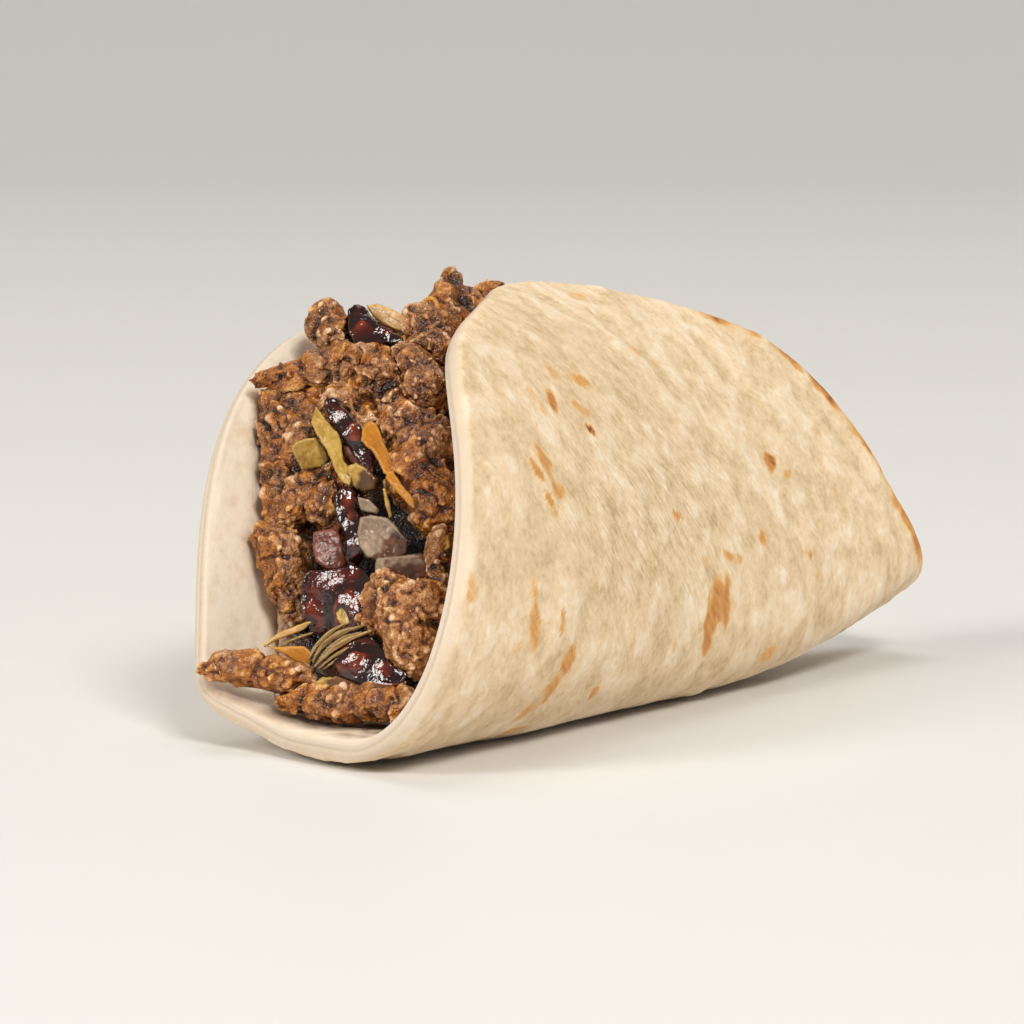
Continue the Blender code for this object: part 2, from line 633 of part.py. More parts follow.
beef = [
    make_lump(
        "beef_nugget",
        [
            (-19.0, -13.2, 3.0, 2.9, 3.2, 3.2),
            (-15.4, -15.6, 3.6, 4.4, 4.3, 4.2),
            (-15.0, -20.6, 3.2, 3.4, 3.8, 3.8),
            (-20.4, -16.6, 3.6, 2.0, 2.4, 2.8),
        ],
        NUGGET_LOOK,
        300,
        0.9,
        31,
    ),
    make_lump(
        "beef_crisp_front",
        [
            (-46.2, -24.0, 13.6, 1.5, 1.0, 1.2),
            (-43.2, -23.2, 12.6, 2.6, 1.9, 1.9),
            (-40.2, -23.6, 10.6, 2.8, 2.3, 2.4),
            (-36.8, -24.4, 8.4, 3.2, 2.3, 2.6),
            (-33.4, -25.4, 6.2, 3.0, 2.1, 2.6),
        ],
        BEEF_LOOK,
        300,
        0.8,
        32,
    ),
    make_lump(
        "beef_bottom_row",
        [
            (-32.4, -28.2, 5.6, 2.8, 1.9, 2.6),
            (-28.4, -29.0, 5.4, 2.8, 2.1, 2.8),
            (-24.6, -29.4, 5.0, 2.9, 2.4, 2.9),
            (-20.8, -29.2, 4.6, 2.9, 2.4, 2.9),
            (-17.4, -28.6, 4.2, 2.3, 2.2, 2.7),
        ],
        BEEF_LOOK,
        320,
        0.8,
        33,
    ),
    make_lump(
        "beef_slab",
        [
            (-35.4, 16.2, -2.0, 2.4, 2.6, 2.6),
            (-35.8, 12.0, -1.6, 2.4, 3.0, 2.8),
            (-35.4, 7.2, -1.4, 2.6, 3.0, 3.0),
            (-35.2, 2.2, -1.4, 2.6, 3.0, 3.0),
            (-33.6, -1.2, -1.4, 2.6, 2.2, 2.8),
            (-31.6, 14.6, -2.2, 3.6, 3.6, 3.2),
            (-31.4, 8.2, -2.0, 3.6, 4.2, 3.2),
            (-31.0, 2.2, -2.0, 3.6, 3.6, 3.2),
            (-27.4, 13.0, -3.0, 3.0, 3.6, 3.2),
            (-26.8, 7.0, -3.0, 2.6, 4.0, 3.0),
            (-27.2, 0.6, -2.4, 2.8, 4.2, 3.2),
        ],
        BEEF_LOOK,
        420,
        0.9,
        34,
    ),
    make_lump(
        "beef_tongue",
        [
            (-37.4, -4.0, 1.4, 2.0, 2.0, 1.8),
            (-35.0, -5.8, 0.2, 3.2, 3.2, 2.8),
            (-33.8, -10.0, -1.0, 2.8, 4.2, 3.0),
            (-33.0, -14.0, -3.0, 2.1, 3.2, 2.6),
        ],
        BEEF_LOOK,
        260,
        0.8,
        35,
    ),
    make_lump(
        "beef_arm",
        [
            (-38.4, 19.9, 3.0, 1.5, 1.1, 1.2),
            (-35.8, 20.4, 2.2, 2.0, 1.6, 1.8),
            (-32.8, 20.6, 1.0, 2.6, 2.1, 2.4),
            (-29.2, 21.4, -1.0, 2.8, 2.7, 3.0),
            (-25.8, 22.0, -2.6, 2.6, 3.2, 3.4),
        ],
        BEEF_LOOK,
        300,
        0.8,
        36,
    ),
    make_lump(
        "beef_top_chunk",
        [
            (-28.2, 28.8, -8.0, 2.8, 2.7, 3.0),
            (-26.2, 26.2, -8.0, 3.0, 3.0, 3.4),
            (-29.8, 28.9, -7.6, 1.3, 1.2, 1.4),
        ],
        BEEF_LOOK,
        220,
        0.8,
        37,
    ),
    make_lump(
        "beef_mid_crumble",
        [
            (-22.0, 23.0, -6.0, 3.3, 2.4, 3.2),
            (-20.2, 19.4, -5.0, 3.9, 3.8, 3.8),
            (-18.0, 16.2, -4.6, 2.8, 2.4, 3.2),
        ],
        BEEF_LOOK,
        260,
        1.0,
        38,
        3.4,
    ),
    make_lump(
        "beef_right_crumble",
        [
            (-15.4, 22.0, -6.4, 2.9, 2.8, 3.2),
            (-13.2, 18.8, -6.0, 3.2, 3.6, 3.8),
        ],
        BEEF_LOOK,
        240,
        1.0,
        39,
        3.4,
    ),
    make_lump(
        "beef_upper_crumble",
        [
            (-13.6, 28.0, -13.0, 3.1, 2.8, 3.6),
            (-12.2, 24.6, -11.6, 3.2, 3.2, 3.6),
        ],
        BEEF_LOOK,
        220,
        1.0,
        40,
        3.4,
    ),
    make_lump(
        "beef_spire",
        [
            (-8.9, 35.0, -24.0, 1.6, 2.0, 1.9),
            (-9.8, 31.8, -23.0, 2.4, 2.8, 3.2),
            (-6.8, 31.6, -25.6, 2.2, 2.4, 2.8),
            (-9.4, 27.6, -22.0, 3.2, 3.4, 3.6),
        ],
        BEEF_LOOK,
        260,
        1.0,
        41,
        2.8,
    ),
    make_lump(
        "beef_ridge",
        [
            (-4.2, 32.4, -55.0, 1.9, 1.9, 2.0),
            (-1.8, 33.6, -56.0, 1.6, 1.5, 1.8),
            (0.6, 33.0, -57.0, 1.3, 1.3, 1.6),
            (-2.0, 30.0, -55.5, 3.4, 2.6, 2.2),
        ],
        BEEF_LOOK,
        240,
        0.9,
        42,
        2.6,
    ),
    make_lump(
        "beef_lower_right",
        [
            (-15.6, 13.0, -2.2, 3.7, 3.3, 3.6),
            (-12.6, 9.0, -2.2, 4.2, 4.6, 4.2),
            (-14.4, 5.4, -1.4, 3.8, 4.4, 3.8),
            (-11.0, 1.6, -2.0, 3.4, 4.6, 3.8),
        ],
        BEEF_LOOK,
        420,
        1.0,
        43,
        3.4,
    ),
    make_lump(
        "beef_right_slice",
        [
            (-11.0, -7.0, -1.4, 1.7, 3.8, 2.8),
            (-11.2, -12.6, -1.2, 1.7, 4.2, 2.8),
        ],
        BEEF_LOOK,
        160,
        0.6,
        44,
    ),
]

for index, piece in enumerate(toppings):
    carve(piece, toppings[:index], plain=True)
for index, piece in enumerate(sauces):
    carve(piece, toppings + sauces[:index], plain=True)
for index, piece in enumerate(beef):
    carve(piece, toppings + sauces, plain=True)
    carve(piece, beef[:index] + [tortilla])
core = make_core(BEEF_LOOK)
carve(core, toppings + sauces + beef + [tortilla], plain=True)

# The origin goes to the middle of the underside of the whole taco's box.
bpy.context.view_layer.update()
pieces = [thing for thing in bpy.context.scene.objects if thing.type == "MESH"]
corners = np.array([vert.co[:] for thing in pieces for vert in thing.data.vertices])
low, high = corners.min(axis=0), corners.max(axis=0)
shift = Vector((-(low[0] + high[0]) / 2, -(low[1] + high[1]) / 2, -low[2]))
for thing in pieces:
    thing.data.transform(Matrix.Translation(shift))
    thing.data.update()
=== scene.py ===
"""A smash taco: seared crumbled beef, onion, pickle, cheese and dark sauce in a folded flour tortilla."""
import itertools
import math

import bmesh
import bpy
import numpy as np
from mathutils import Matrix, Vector
from mathutils.bvhtree import BVHTree


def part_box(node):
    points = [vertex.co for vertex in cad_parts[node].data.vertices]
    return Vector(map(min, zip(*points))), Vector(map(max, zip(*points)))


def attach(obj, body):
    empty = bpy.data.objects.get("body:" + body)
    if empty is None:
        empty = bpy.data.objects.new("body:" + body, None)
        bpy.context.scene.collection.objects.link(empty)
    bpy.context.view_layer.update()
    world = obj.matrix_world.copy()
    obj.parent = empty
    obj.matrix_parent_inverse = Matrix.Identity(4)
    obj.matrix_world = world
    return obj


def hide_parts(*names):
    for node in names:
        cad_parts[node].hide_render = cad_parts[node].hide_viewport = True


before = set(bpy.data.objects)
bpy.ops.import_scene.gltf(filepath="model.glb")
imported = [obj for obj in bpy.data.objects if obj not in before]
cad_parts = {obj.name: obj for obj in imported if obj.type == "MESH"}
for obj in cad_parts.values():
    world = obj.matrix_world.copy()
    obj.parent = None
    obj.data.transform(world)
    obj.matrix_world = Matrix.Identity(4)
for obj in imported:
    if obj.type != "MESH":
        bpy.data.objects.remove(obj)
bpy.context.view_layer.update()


# The tortilla is one round sheet of wheat dough, pressed thin, baked on a hot plate and folded
# over the filling. Its wet air bubbles leave soft blisters, and those that touched the plate
# are toasted. The cover wall leans over the filling, the cradle wall lies flat and then stands.
# Lengths are in metres and angles in degrees. A pair runs from the mouth to the tip, with an
# optional bulge between. Each relief is given by the size of its lumps and its height.
TORTILLA_DIAMETER = 0.155
TORTILLA_THICKNESS = 0.0028
RIM_WAVES = (
    (2, -0.007, -0.007),
    (3, -0.016, 0.008),
    (4, -0.004, 0.038),
    (5, 0.002, 0.000),
    (6, 0.000, 0.013),
    (7, 0.011, -0.009),
    (8, -0.003, 0.012),
)
RIM_CORNER = (0.0014, -22.5, 5.0)
COVER_LEAN = (92.4, 119.8)
COVER_BEND = (0.0230, 0.0059)
COVER_CURL = (70.5, 48.9, -1.1)
CRADLE_LEAN = (84.0, 79.0, -9.0)
CRADLE_KNEE = (0.0330, 0.0040, 0.0019)
CRADLE_KNEE_WIDTH = (0.0027, 0.0103)
CRADLE_CURL = (-18.5, 11.9)
FLOOR_SLOPE = (18.8, 8.0)
FLOOR_FLAT = (0.0055, 0.003, 0.0110)
FLOOR_RISE = 0.012
FLOOR_SETTLE = 0.007
TIP_LIFT = 1.9
TIP_LIFT_START = 0.0043
MOUTH_LIFT = 0.018
MOUTH_LIFT_START = -0.039
BLISTERS = (0.010, 0.00060)
FLAKES = (0.0046, 0.00013)
DIMPLES = (0.0022, 0.00011)
INNER_WAVES = (0.011, 0.0003)
WRINKLE_LEAN = -58
WRINKLE_SIZES = (0.0080, 0.0011)
WRINKLE_HEIGHT = 0.00018
WRINKLED_AT = (-0.010, 0.032)
WRINKLED_REACH = (0.027, 0.017)
SHEET_GRID = 218
RIM_RINGS = 7
RIM_SMOOTH = (0.93, 0.05)
INNER_RIM_SHARPNESS = 0.35
FOLD_STEPS = 60


def between(pair, t):
    bulge = pair[2] * 4 * t * (1 - t) if len(pair) == 3 else 0.0
    return pair[0] * (1 - t) + pair[1] * t + bulge


def ease(x):
    x = np.clip(x, 0.0, 1.0)
    return x * x * (3 - 2 * x)


def wall_angle(x, arc, cover):
    """The wall's slope in degrees, arc metres up from the fold line at x."""
    half = TORTILLA_DIAMETER / 2
    t = (x + half) / TORTILLA_DIAMETER
    if cover:
        bend = np.tanh(arc / between(COVER_BEND, t))
        return between(COVER_LEAN, t) * bend + between(COVER_CURL, t) * (arc / half) ** 2
    knee, width = between(CRADLE_KNEE, t), between(CRADLE_KNEE_WIDTH, t)
    step = 0.5 * (1 + np.tanh((arc - knee) / width))
    first = 0.5 * (1 + np.tanh(-knee / width))
    step = (step - first) / (1 - first)
    beyond = arc - between(FLOOR_FLAT, t)
    floor = between(FLOOR_SLOPE, t) * ease(beyond / FLOOR_RISE) * (1 - step)
    wall = between(CRADLE_LEAN, t) * step + between(CRADLE_CURL, t) * (arc / half) ** 2
    return (floor + wall) * ease(beyond / FLOOR_SETTLE)


def folded(x, across):
    """Points of the folded sheet's middle. Across is > 0 on the cover wall and < 0 on the cradle wall."""
    points = np.empty(x.shape + (3,))
    steps = (np.arange(FOLD_STEPS) + 0.5) / FOLD_STEPS
    for cover in (True, False):
        side = across >= 0 if cover else across < 0
        u, arc = x[side][:, None], np.abs(across[side])[:, None]
        angle = np.radians(wall_angle(u, arc * steps, cover))
        run = (np.cos(angle) * arc / FOLD_STEPS).sum(axis=1)
        height = (np.sin(angle) * arc / FOLD_STEPS).sum(axis=1)
        lift = TIP_LIFT * np.maximum(u[:, 0] - TIP_LIFT_START, 0) ** 2
        lift += MOUTH_LIFT * np.maximum(MOUTH_LIFT_START - u[:, 0], 0)
        points[side] = np.stack([u[:, 0], -run if cover else run, height + lift], axis=-1)
    return points


def hashed(cells, seed):
    """A random number from 0 to 1 for each cell of whole numbers."""
    mix = np.full(len(cells), seed * 7919 + 17, np.int64)
    for column, prime in zip(cells.T, (73856093, 19349663, 83492791)):
        mix = mix ^ (column * prime)
    mix = (mix ^ (mix >> 13)) * 1274126177
    mix = (mix ^ (mix >> 16)) & 0xFFFFF
    return mix / 0xFFFFF


def cloud(points, size, seed, octaves=1):
    """Smooth noise from -1 to 1, with lumps of about that size."""
    total, weight, whole = 0.0, 1.0, 0.0
    for octave in range(octaves):
        place = points / size * 2**octave + 11.3 + seed
        cell = np.floor(place).astype(np.int64)
        part = place - cell
        part = part * part * (3 - 2 * part)
        value = np.zeros(len(points))
        for corner in itertools.product((0, 1), repeat=points.shape[1]):
            share = np.where(corner, part, 1 - part).prod(axis=1)
            value += share * hashed(cell + np.array(corner), seed + octave)
        total = total + weight * (2 * value - 1)
        whole += weight
        weight *= 0.5
    return total / whole


def crumbs(points, size, seed):
    """Rounded cells of about that size: 0 in each one's middle, up to about 1 in the cracks."""
    place = points / size
    cell = np.floor(place).astype(np.int64)
    near = np.full(len(points), 9.0)
    for corner in itertools.product((-1, 0, 1), repeat=3):
        other = cell + np.array(corner)
        jitter = np.stack([hashed(other, seed + k) for k in range(3)], axis=1)
        near = np.minimum(near, ((place - other - jitter) ** 2).sum(axis=1))
    return np.sqrt(near)


def rim_radius(turn):
    wave = sum(a * np.cos(k * turn) + b * np.sin(k * turn) for k, a, b in RIM_WAVES)
    bulge, at, wide = RIM_CORNER
    return TORTILLA_DIAMETER / 2 * (1 + wave) + bulge * np.exp(-(((np.degrees(turn) - at) / wide) ** 2))


def sheet_spots():
    """The flat sheet's grid: x, across, and each point's offset from the sheet's middle."""
    line = np.linspace(-1, 1, SHEET_GRID + 1)
    a, b = (part.ravel() for part in np.meshgrid(line, line, indexing="ij"))
    big = np.maximum(np.abs(a), np.abs(b)) + 1e-12
    wide = np.abs(a) > np.abs(b)
    part = np.where(wide, b, a) / big * math.pi / 4
    x = np.where(wide, np.sign(a) * np.cos(part), np.sin(part))
    y = np.where(wide, np.sin(part), np.sign(b) * np.cos(part))
    turn = np.arctan2(y, -x)
    half = TORTILLA_THICKNESS / 2
    inner = 1 - 2 * RIM_RINGS / SHEET_GRID
    roll = np.clip((big - inner) / (1 - inner), 0, 1) * math.pi / 2
    radius = (rim_radius(turn) - half) * np.minimum(big / inner, 1) + half * np.sin(roll)
    return -radius * np.cos(turn), radius * np.sin(turn), half * np.cos(roll), big


def turned_to(degrees, x, across, sizes):
    """Places of the flat sheet along and across a direction, measured in these two sizes."""
    angle = math.radians(degrees)
    along = x * math.cos(angle) + across * math.sin(angle)
    beside = -x * math.sin(angle) + across * math.cos(angle)
    return np.stack([along / sizes[0], beside / sizes[1]], axis=1)


flat_x, flat_across, offset, ring = sheet_spots()
middle = folded(flat_x, flat_across)
TINY = 1e-5
ahead, aside = folded(flat_x + TINY, flat_across), folded(flat_x, flat_across + TINY)
outward = np.cross(ahead - middle, aside - middle)
outward /= np.linalg.norm(outward, axis=1)[:, None]

# Soft blisters, floury flakes, a dimpled skin, and fine stretch wrinkles where the cover wall turns
# up. The inner face stays flat almost to the rim, and the outer face is rounded off to meet it.
flat_spots = np.stack([flat_x, flat_across], axis=1)
blisters = np.clip(cloud(flat_spots, BLISTERS[0], 3, 2), 0, 1) * BLISTERS[1]
flaky = ease((cloud(flat_spots, FLAKES[0], 31, 3) + 0.05) / 0.30)
dimples = cloud(flat_spots, DIMPLES[0], 5, 2) * DIMPLES[1]
bent = np.exp(-(((flat_spots - WRINKLED_AT) / WRINKLED_REACH) ** 2).sum(axis=1))
wrinkle_spots = turned_to(WRINKLE_LEAN, flat_x, flat_across, WRINKLE_SIZES)
wrinkles = cloud(wrinkle_spots, 1.0, 7, 2) * WRINKLE_HEIGHT * bent
smooth_rim = 1 - ease((ring - RIM_SMOOTH[0]) / RIM_SMOOTH[1])
outer_relief = (blisters + flaky * FLAKES[1] + dimples + wrinkles) * smooth_rim
inner_relief = (cloud(flat_spots, INNER_WAVES[0], 13, 2) * INNER_WAVES[1] + dimples * 0.6) * smooth_rim
inner_offset = TORTILLA_THICKNESS / 2 * (2 * offset / TORTILLA_THICKNESS).clip(0) ** INNER_RIM_SHARPNESS

count = len(flat_x)
points = np.concatenate([
    middle + outward * (offset + outer_relief)[:, None],
    middle - outward * (inner_offset + inner_relief)[:, None],
])
low, high = points.min(axis=0), points.max(axis=0)
node_low, node_high = (np.array(corner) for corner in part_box("tortilla"))
shift = (node_low + node_high - low - high) / 2
shift[2] = node_low[2] - low[2]
points += shift


def grid_cells(rows, columns):
    """The four-sided cells of a grid of points."""
    index = np.arange(rows * columns).reshape(rows, columns)
    corners = [index[:-1, :-1], index[1:, :-1], index[1:, 1:], index[:-1, 1:]]
    return np.stack(corners, axis=-1).reshape(-1, 4)


def only_used(faces):
    """The points that the faces use, and the faces with those points numbered anew."""
    used, index = np.unique(faces, return_inverse=True)
    return used, index.reshape(faces.shape)


def two_sided(cells, edge):
    """Cells in front and again behind, joined where a point lies on the edge."""
    number = np.arange(len(edge))
    behind = np.where(edge, number, number + len(edge))
    return only_used(np.concatenate([cells, behind[cells][:, ::-1]]))


def in_scene(name, data):
    made = bpy.data.objects.new(name, data)
    bpy.context.scene.collection.objects.link(made)
    return made


def mesh_object(name, points, faces):
    mesh = bpy.data.meshes.new(name)
    mesh.from_pydata(points.tolist(), [], faces.tolist())
    mesh.validate()
    mesh.shade_smooth()
    return in_scene(name, mesh)


def spread(mesh, name, values):
    """Stores one value, or one vector, for each point of the mesh."""
    kind, part = ("FLOAT", "value") if values.ndim == 1 else ("FLOAT_VECTOR", "vector")
    layer = mesh.attributes.new(name, kind, "POINT")
    layer.data.foreach_set(part, values.astype(np.float32).ravel())


used, faces = two_sided(grid_cells(SHEET_GRID + 1, SHEET_GRID + 1), ring > 1 - 1e-9)
folded_tortilla = mesh_object("folded_tortilla", points[used], faces)

# Toast marks of the outer face: x and across of the middle, half sizes along x and across, the
# lean of the mark in degrees, all in millimetres of the flat sheet, and how dark it is baked.
TOAST_MARKS = (
    (20, 70.7, 3.0, 1.2, 0, 0.35),
    (-13, 54.5, 2.8, 1.5, -20, 0.50),
    (-20, 56.8, 1.8, 1.2, -20, 0.38),
    (-27, 52.4, 1.0, 2.1, -40, 0.75),
    (-32, 51.3, 1.4, 1.2, 0, 0.35),
    (-32, 54.0, 1.2, 1.3, 0, 0.32),
    (-19, 50.1, 2.0, 1.3, -20, 0.42),
    (-40.6, 44.3, 1.9, 2.4, 40, 0.55),
    (-44.0, 43.6, 0.9, 2.7, 42, 0.62),
    (-39.1, 44.4, 0.9, 2.2, 42, 0.58),
    (-38.9, 40.2, 1.5, 1.2, 0, 0.60),
    (-43.1, 39.1, 0.9, 1.4, 30, 0.65),
    (-42.5, 37.6, 1.2, 1.2, 0, 0.35),
    (-4.5, 31.4, 2.1, 0.7, -15, 0.55),
    (36.4, 32.7, 1.8, 1.5, 0, 0.85),
    (40, 30.0, 1.7, 0.7, 0, 0.45),
    (15.6, 57.2, 2.1, 1.1, 0, 0.30),
    (18.4, 54.3, 2.3, 0.9, 0, 0.28),
    (22.7, 23.9, 1.6, 1.2, 0, 0.52),
    (9.8, 23.6, 1.8, 0.7, -20, 0.52),
    (13.0, 22.6, 0.7, 1.0, 0, 0.50),
    (36.2, 18.0, 0.7, 1.0, 0, 0.72),
    (37.3, 14.9, 1.0, 0.8, 0, 0.38),
    (1.4, 24.1, 1.3, 0.8, 0, 0.34),
    (5.0, 17.8, 3.6, 3.5, 10, 0.66),
    (1.4, 15.3, 1.9, 3.4, -6, 0.70),
    (-70.7, 30.9, 1.6, 1.7, 0, 0.36),
    (-52.9, 24.3, 1.5, 4.2, 5, 0.50),
    (-45.4, 23.0, 1.0, 2.4, 0, 0.56),
    (-23.5, 18.3, 1.3, 3.2, 10, 0.30),
    (-41.6, 17.0, 1.5, 1.9, -25, 0.66),
    (-44.0, 13.6, 1.5, 2.2, -35, 0.58),
    (-46.8, 10.4, 1.3, 1.9, -35, 0.48),
    (-29.3, 10.3, 1.3, 1.2, 0, 0.60),
    (-44.0, 6.0, 2.8, 1.1, 20, 0.45),
    (-9.4, 14.3, 0.8, 1.4, 0, 0.36),
    (22.3, 7.4, 2.2, 1.0, 0, 0.42),
    (-57.2, 21.3, 1.4, 1.0, 0, 0.34),
    (-20.0, 46.8, 0.75, 0.9, 40, 1.50),
)
MM = 0.001
TOAST_RAGGED = (0.0016, 0.55)
MARKS_BY_CHANCE = 70
toast = np.zeros(count)
ragged = cloud(flat_spots, TOAST_RAGGED[0], 21, 2) * TOAST_RAGGED[1]


def toast_mark(x, across, half_x, half_across, lean, dark, core=0.65, fade=0.80):
    """Adds an oval mark with a ragged edge: evenly dark in its core, and fading outside it."""
    sizes = (half_x * MM, half_across * MM)
    away = turned_to(lean, flat_x - x * MM, flat_across - across * MM, sizes)
    away = np.sqrt((away**2).sum(axis=1)) + ragged
    toast[:] = np.maximum(toast, dark * (1 - ease((away - core) / fade)))


for mark in TOAST_MARKS:
    toast_mark(*mark)

# The rest of the outer face, underneath and behind, is marked as unevenly, by chance.
chance = np.random.default_rng(41)
for _ in range(MARKS_BY_CHANCE):
    x, across = chance.uniform(-68, 68), chance.uniform(-68, 2)
    half_x, half_across = chance.uniform(0.9, 3.2, 2)
    toast_mark(x, across, half_x, half_across, 0, chance.uniform(0.3, 0.8), 0.55, 0.75)

# The rim is browned from the top of the cover wall to the tip, where it lay on the hot plate:
# the middle and the half width of each browned part, in degrees round the sheet, and how dark.
RIM_BROWNING = (
    (47, 3.0, 0.9),
    (41, 2.0, 0.5),
    (35, 3.5, 0.85),
    (29, 3.5, 1.0),
    (20, 6.0, 0.75),
    (9, 6.0, 0.85),
)
RIM_TOASTED = (0.905, 0.030)
RIM_BAND = (0.935, 0.045)
rim_turn = np.degrees(np.arctan2(flat_across, flat_x))
edge_toast = np.zeros(count)
for at, wide, dark in RIM_BROWNING:
    edge_toast = np.maximum(edge_toast, dark * np.exp(-(((rim_turn - at) / wide) ** 2)))
edge_toast *= ease((ring - RIM_TOASTED[0] + 0.020 * ragged) / RIM_TOASTED[1]) * (0.9 + 0.5 * ragged)
toast = np.maximum(toast, edge_toast)

# What the dough's colour needs, stored on the mesh: one value on each outer and each inner point.
flat_places = np.stack([flat_x, flat_across, np.ones(count)], axis=1)
band = ease((ring - RIM_BAND[0]) / RIM_BAND[1])
for name, outer, inner in (
    ("flat", flat_places, flat_places * (1, 1, -1)),
    ("toast", toast, edge_toast * ease((ring - 0.94) / 0.03)),
    ("raised", flaky, 0 * flaky),
    ("wrinkled", bent, 0 * bent),
    ("band", band, band),
):
    spread(folded_tortilla.data, name, np.concatenate([outer, inner])[used])


def new_material(name):
    made = bpy.data.materials.new(name)
    made.use_nodes = True
    return made, made.node_tree, made.node_tree.nodes["Principled BSDF"]


def node(tree, kind, sockets=None, **settings):
    """Adds a node. Sockets are given by name or number, as a value or as the output that feeds them."""
    made = tree.nodes.new(kind)
    for name, value in settings.items():
        setattr(made, name, value)
    for name, value in (sockets or {}).items():
        if isinstance(value, bpy.types.NodeSocket):
            tree.links.new(value, made.inputs[name])
        else:
            made.inputs[name].default_value = value
    return made


def shades(tree, amount, stops):
    """A colour ramp: stops are (position, red, green, blue)."""
    ramp = node(tree, "ShaderNodeValToRGB", {"Fac": amount})
    while len(ramp.color_ramp.elements) < len(stops):
        ramp.color_ramp.elements.new(0.5)
    for element, (position, *colour) in zip(ramp.color_ramp.elements, stops):
        element.position = position
        element.color = (*colour, 1.0)
    return ramp.outputs["Color"]


def mixed(tree, amount, first, second):
    """One colour over another. The node holds its colour sockets under numbers 6 and 7."""
    colours = [(*colour, 1.0) if isinstance(colour, tuple) else colour for colour in (first, second)]
    sockets = {0: amount, 6: colours[0], 7: colours[1]}
    return node(tree, "ShaderNodeMix", sockets, data_type="RGBA").outputs[2]


def maths(tree, operation, *values):
    return node(tree, "ShaderNodeMath", dict(enumerate(values)), operation=operation).outputs[0]


def weighed(tree, *parts, plus=0.0):
    """A sum of (output, share) parts and a number."""
    for part, share in parts:
        plus = maths(tree, "MULTIPLY_ADD", part, share, plus)
    return plus


def stored(tree, name):
    """The values that a mesh stores under this name."""
    return node(tree, "ShaderNodeAttribute", attribute_name=name).outputs["Fac"]


def noise(tree, place, scale, detail, roughness=0.5):
    sockets = {"Vector": place, "Scale": scale, "Detail": detail, "Roughness": roughness}
    return node(tree, "ShaderNodeTexNoise", sockets).outputs["Fac"]


def stretch_range(tree, value, old, new=(0.0, 1.0), steps="LINEAR"):
    """A value's old range stretched over a new one."""
    sockets = {"Value": value, "From Min": old[0], "From Max": old[1], "To Min": new[0], "To Max": new[1]}
    return node(tree, "ShaderNodeMapRange", sockets, interpolation_type=steps).outputs["Result"]


def bumped(tree, shader, height, strength, distance):
    bump = node(tree, "ShaderNodeBump", {"Height": height, "Strength": strength, "Distance": distance})
    tree.links.new(bump.outputs["Normal"], shader.inputs["Normal"])


def softened(shader, weight, radius, scale):
    """Light that goes a little way into the surface."""
    shader.inputs["Subsurface Weight"].default_value = weight
    shader.inputs["Subsurface Radius"].default_value = radius
    shader.inputs["Subsurface Scale"].default_value = scale


def effect(name, numbers, outputs):
    """An empty shader group: a place and numbers go in, numbers come out. Its tree, input and output."""
    tree = bpy.data.node_groups.new(name, "ShaderNodeTree")
    tree.interface.new_socket("Place", in_out="INPUT", socket_type="NodeSocketVector")
    for label, value in numbers:
        made = tree.interface.new_socket(label, in_out="INPUT", socket_type="NodeSocketFloat")
        made.default_value = value
    for label in outputs:
        tree.interface.new_socket(label, in_out="OUTPUT", socket_type="NodeSocketFloat")
    return tree, tree.nodes.new("NodeGroupInput"), tree.nodes.new("NodeGroupOutput")


def place_effect(tree, group, sockets):
    return node(tree, "ShaderNodeGroup", sockets, node_tree=group)


# Streaks: noise drawn out along one direction of a surface, from 0 to 1.
numbers = (("Turn", 0.0), ("Length", 0.005), ("Width", 0.001), ("Low", 0.35), ("High", 0.65))
streaks, given, result = effect("streaks", numbers, ("Mask",))
angle = maths(streaks, "RADIANS", given.outputs["Turn"])
turning = {"Vector": given.outputs["Place"], "Angle": angle}
turned = node(streaks, "ShaderNodeVectorRotate", turning, rotation_type="Z_AXIS")
parts = node(streaks, "ShaderNodeSeparateXYZ", {"Vector": turned.outputs[0]})
scaled = node(streaks, "ShaderNodeCombineXYZ", {
    axis: maths(streaks, "DIVIDE", parts.outputs[axis], given.outputs[size])
    for axis, size in (("X", "Length"), ("Y", "Width"), ("Z", "Width"))
})
limits = (given.outputs["Low"], given.outputs["High"])
mask = stretch_range(streaks, noise(streaks, scaled.outputs[0], 1.0, 4.0), limits, steps="SMOOTHSTEP")
streaks.links.new(mask, result.inputs["Mask"])

# The dough's colours: grey-beige in the hollows, cream, and floury white on the raised flakes.
# The inner face, which steamed, is plainer and paler, and round the filling it is darkened with fat, on the
# floor of the fold also with painted shadow under the bottom row of beef.
tortilla_look, tree, shader = new_material("baked_flour_dough")
spot = node(tree, "ShaderNodeAttribute", attribute_name="flat").outputs["Vector"]
toasted, raised, band, stained, wrinkled = (
    stored(tree, name) for name in ("toast", "raised", "band", "stain", "wrinkled")
)
patches = noise(tree, spot, 300.0, 6.0, 0.66)
fine_patches = noise(tree, spot, 1100.0, 4.0)
broad = noise(tree, spot, 90.0, 2.0)
flour = noise(tree, spot, 2400.0, 3.0)
drawn, fine, creases = (
    place_effect(tree, streaks, {"Place": spot, **streak}).outputs[0]
    for streak in (
        {"Turn": 50.0, "Length": 0.0030, "Width": 0.0011},
        {"Turn": 62.0, "Length": 0.0013, "Width": 0.0005},
        {"Turn": 58.0, "Length": 0.0036, "Width": 0.00055, "Low": 0.40, "High": 0.52},
    )
)
creases = maths(tree, "MULTIPLY", maths(tree, "SUBTRACT", creases, 0.8), wrinkled)
level = weighed(tree, (patches, 0.95), (creases, 0.13), (fine_patches, 0.45), (broad, 0.35), plus=-0.47)
level = weighed(tree, (drawn, 0.045), (fine, 0.03), (raised, 0.18), plus=level)
calm = weighed(tree, (band, -0.5), plus=1.0)
level = maths(tree, "MULTIPLY_ADD", maths(tree, "SUBTRACT", level, 0.62), calm, 0.62)
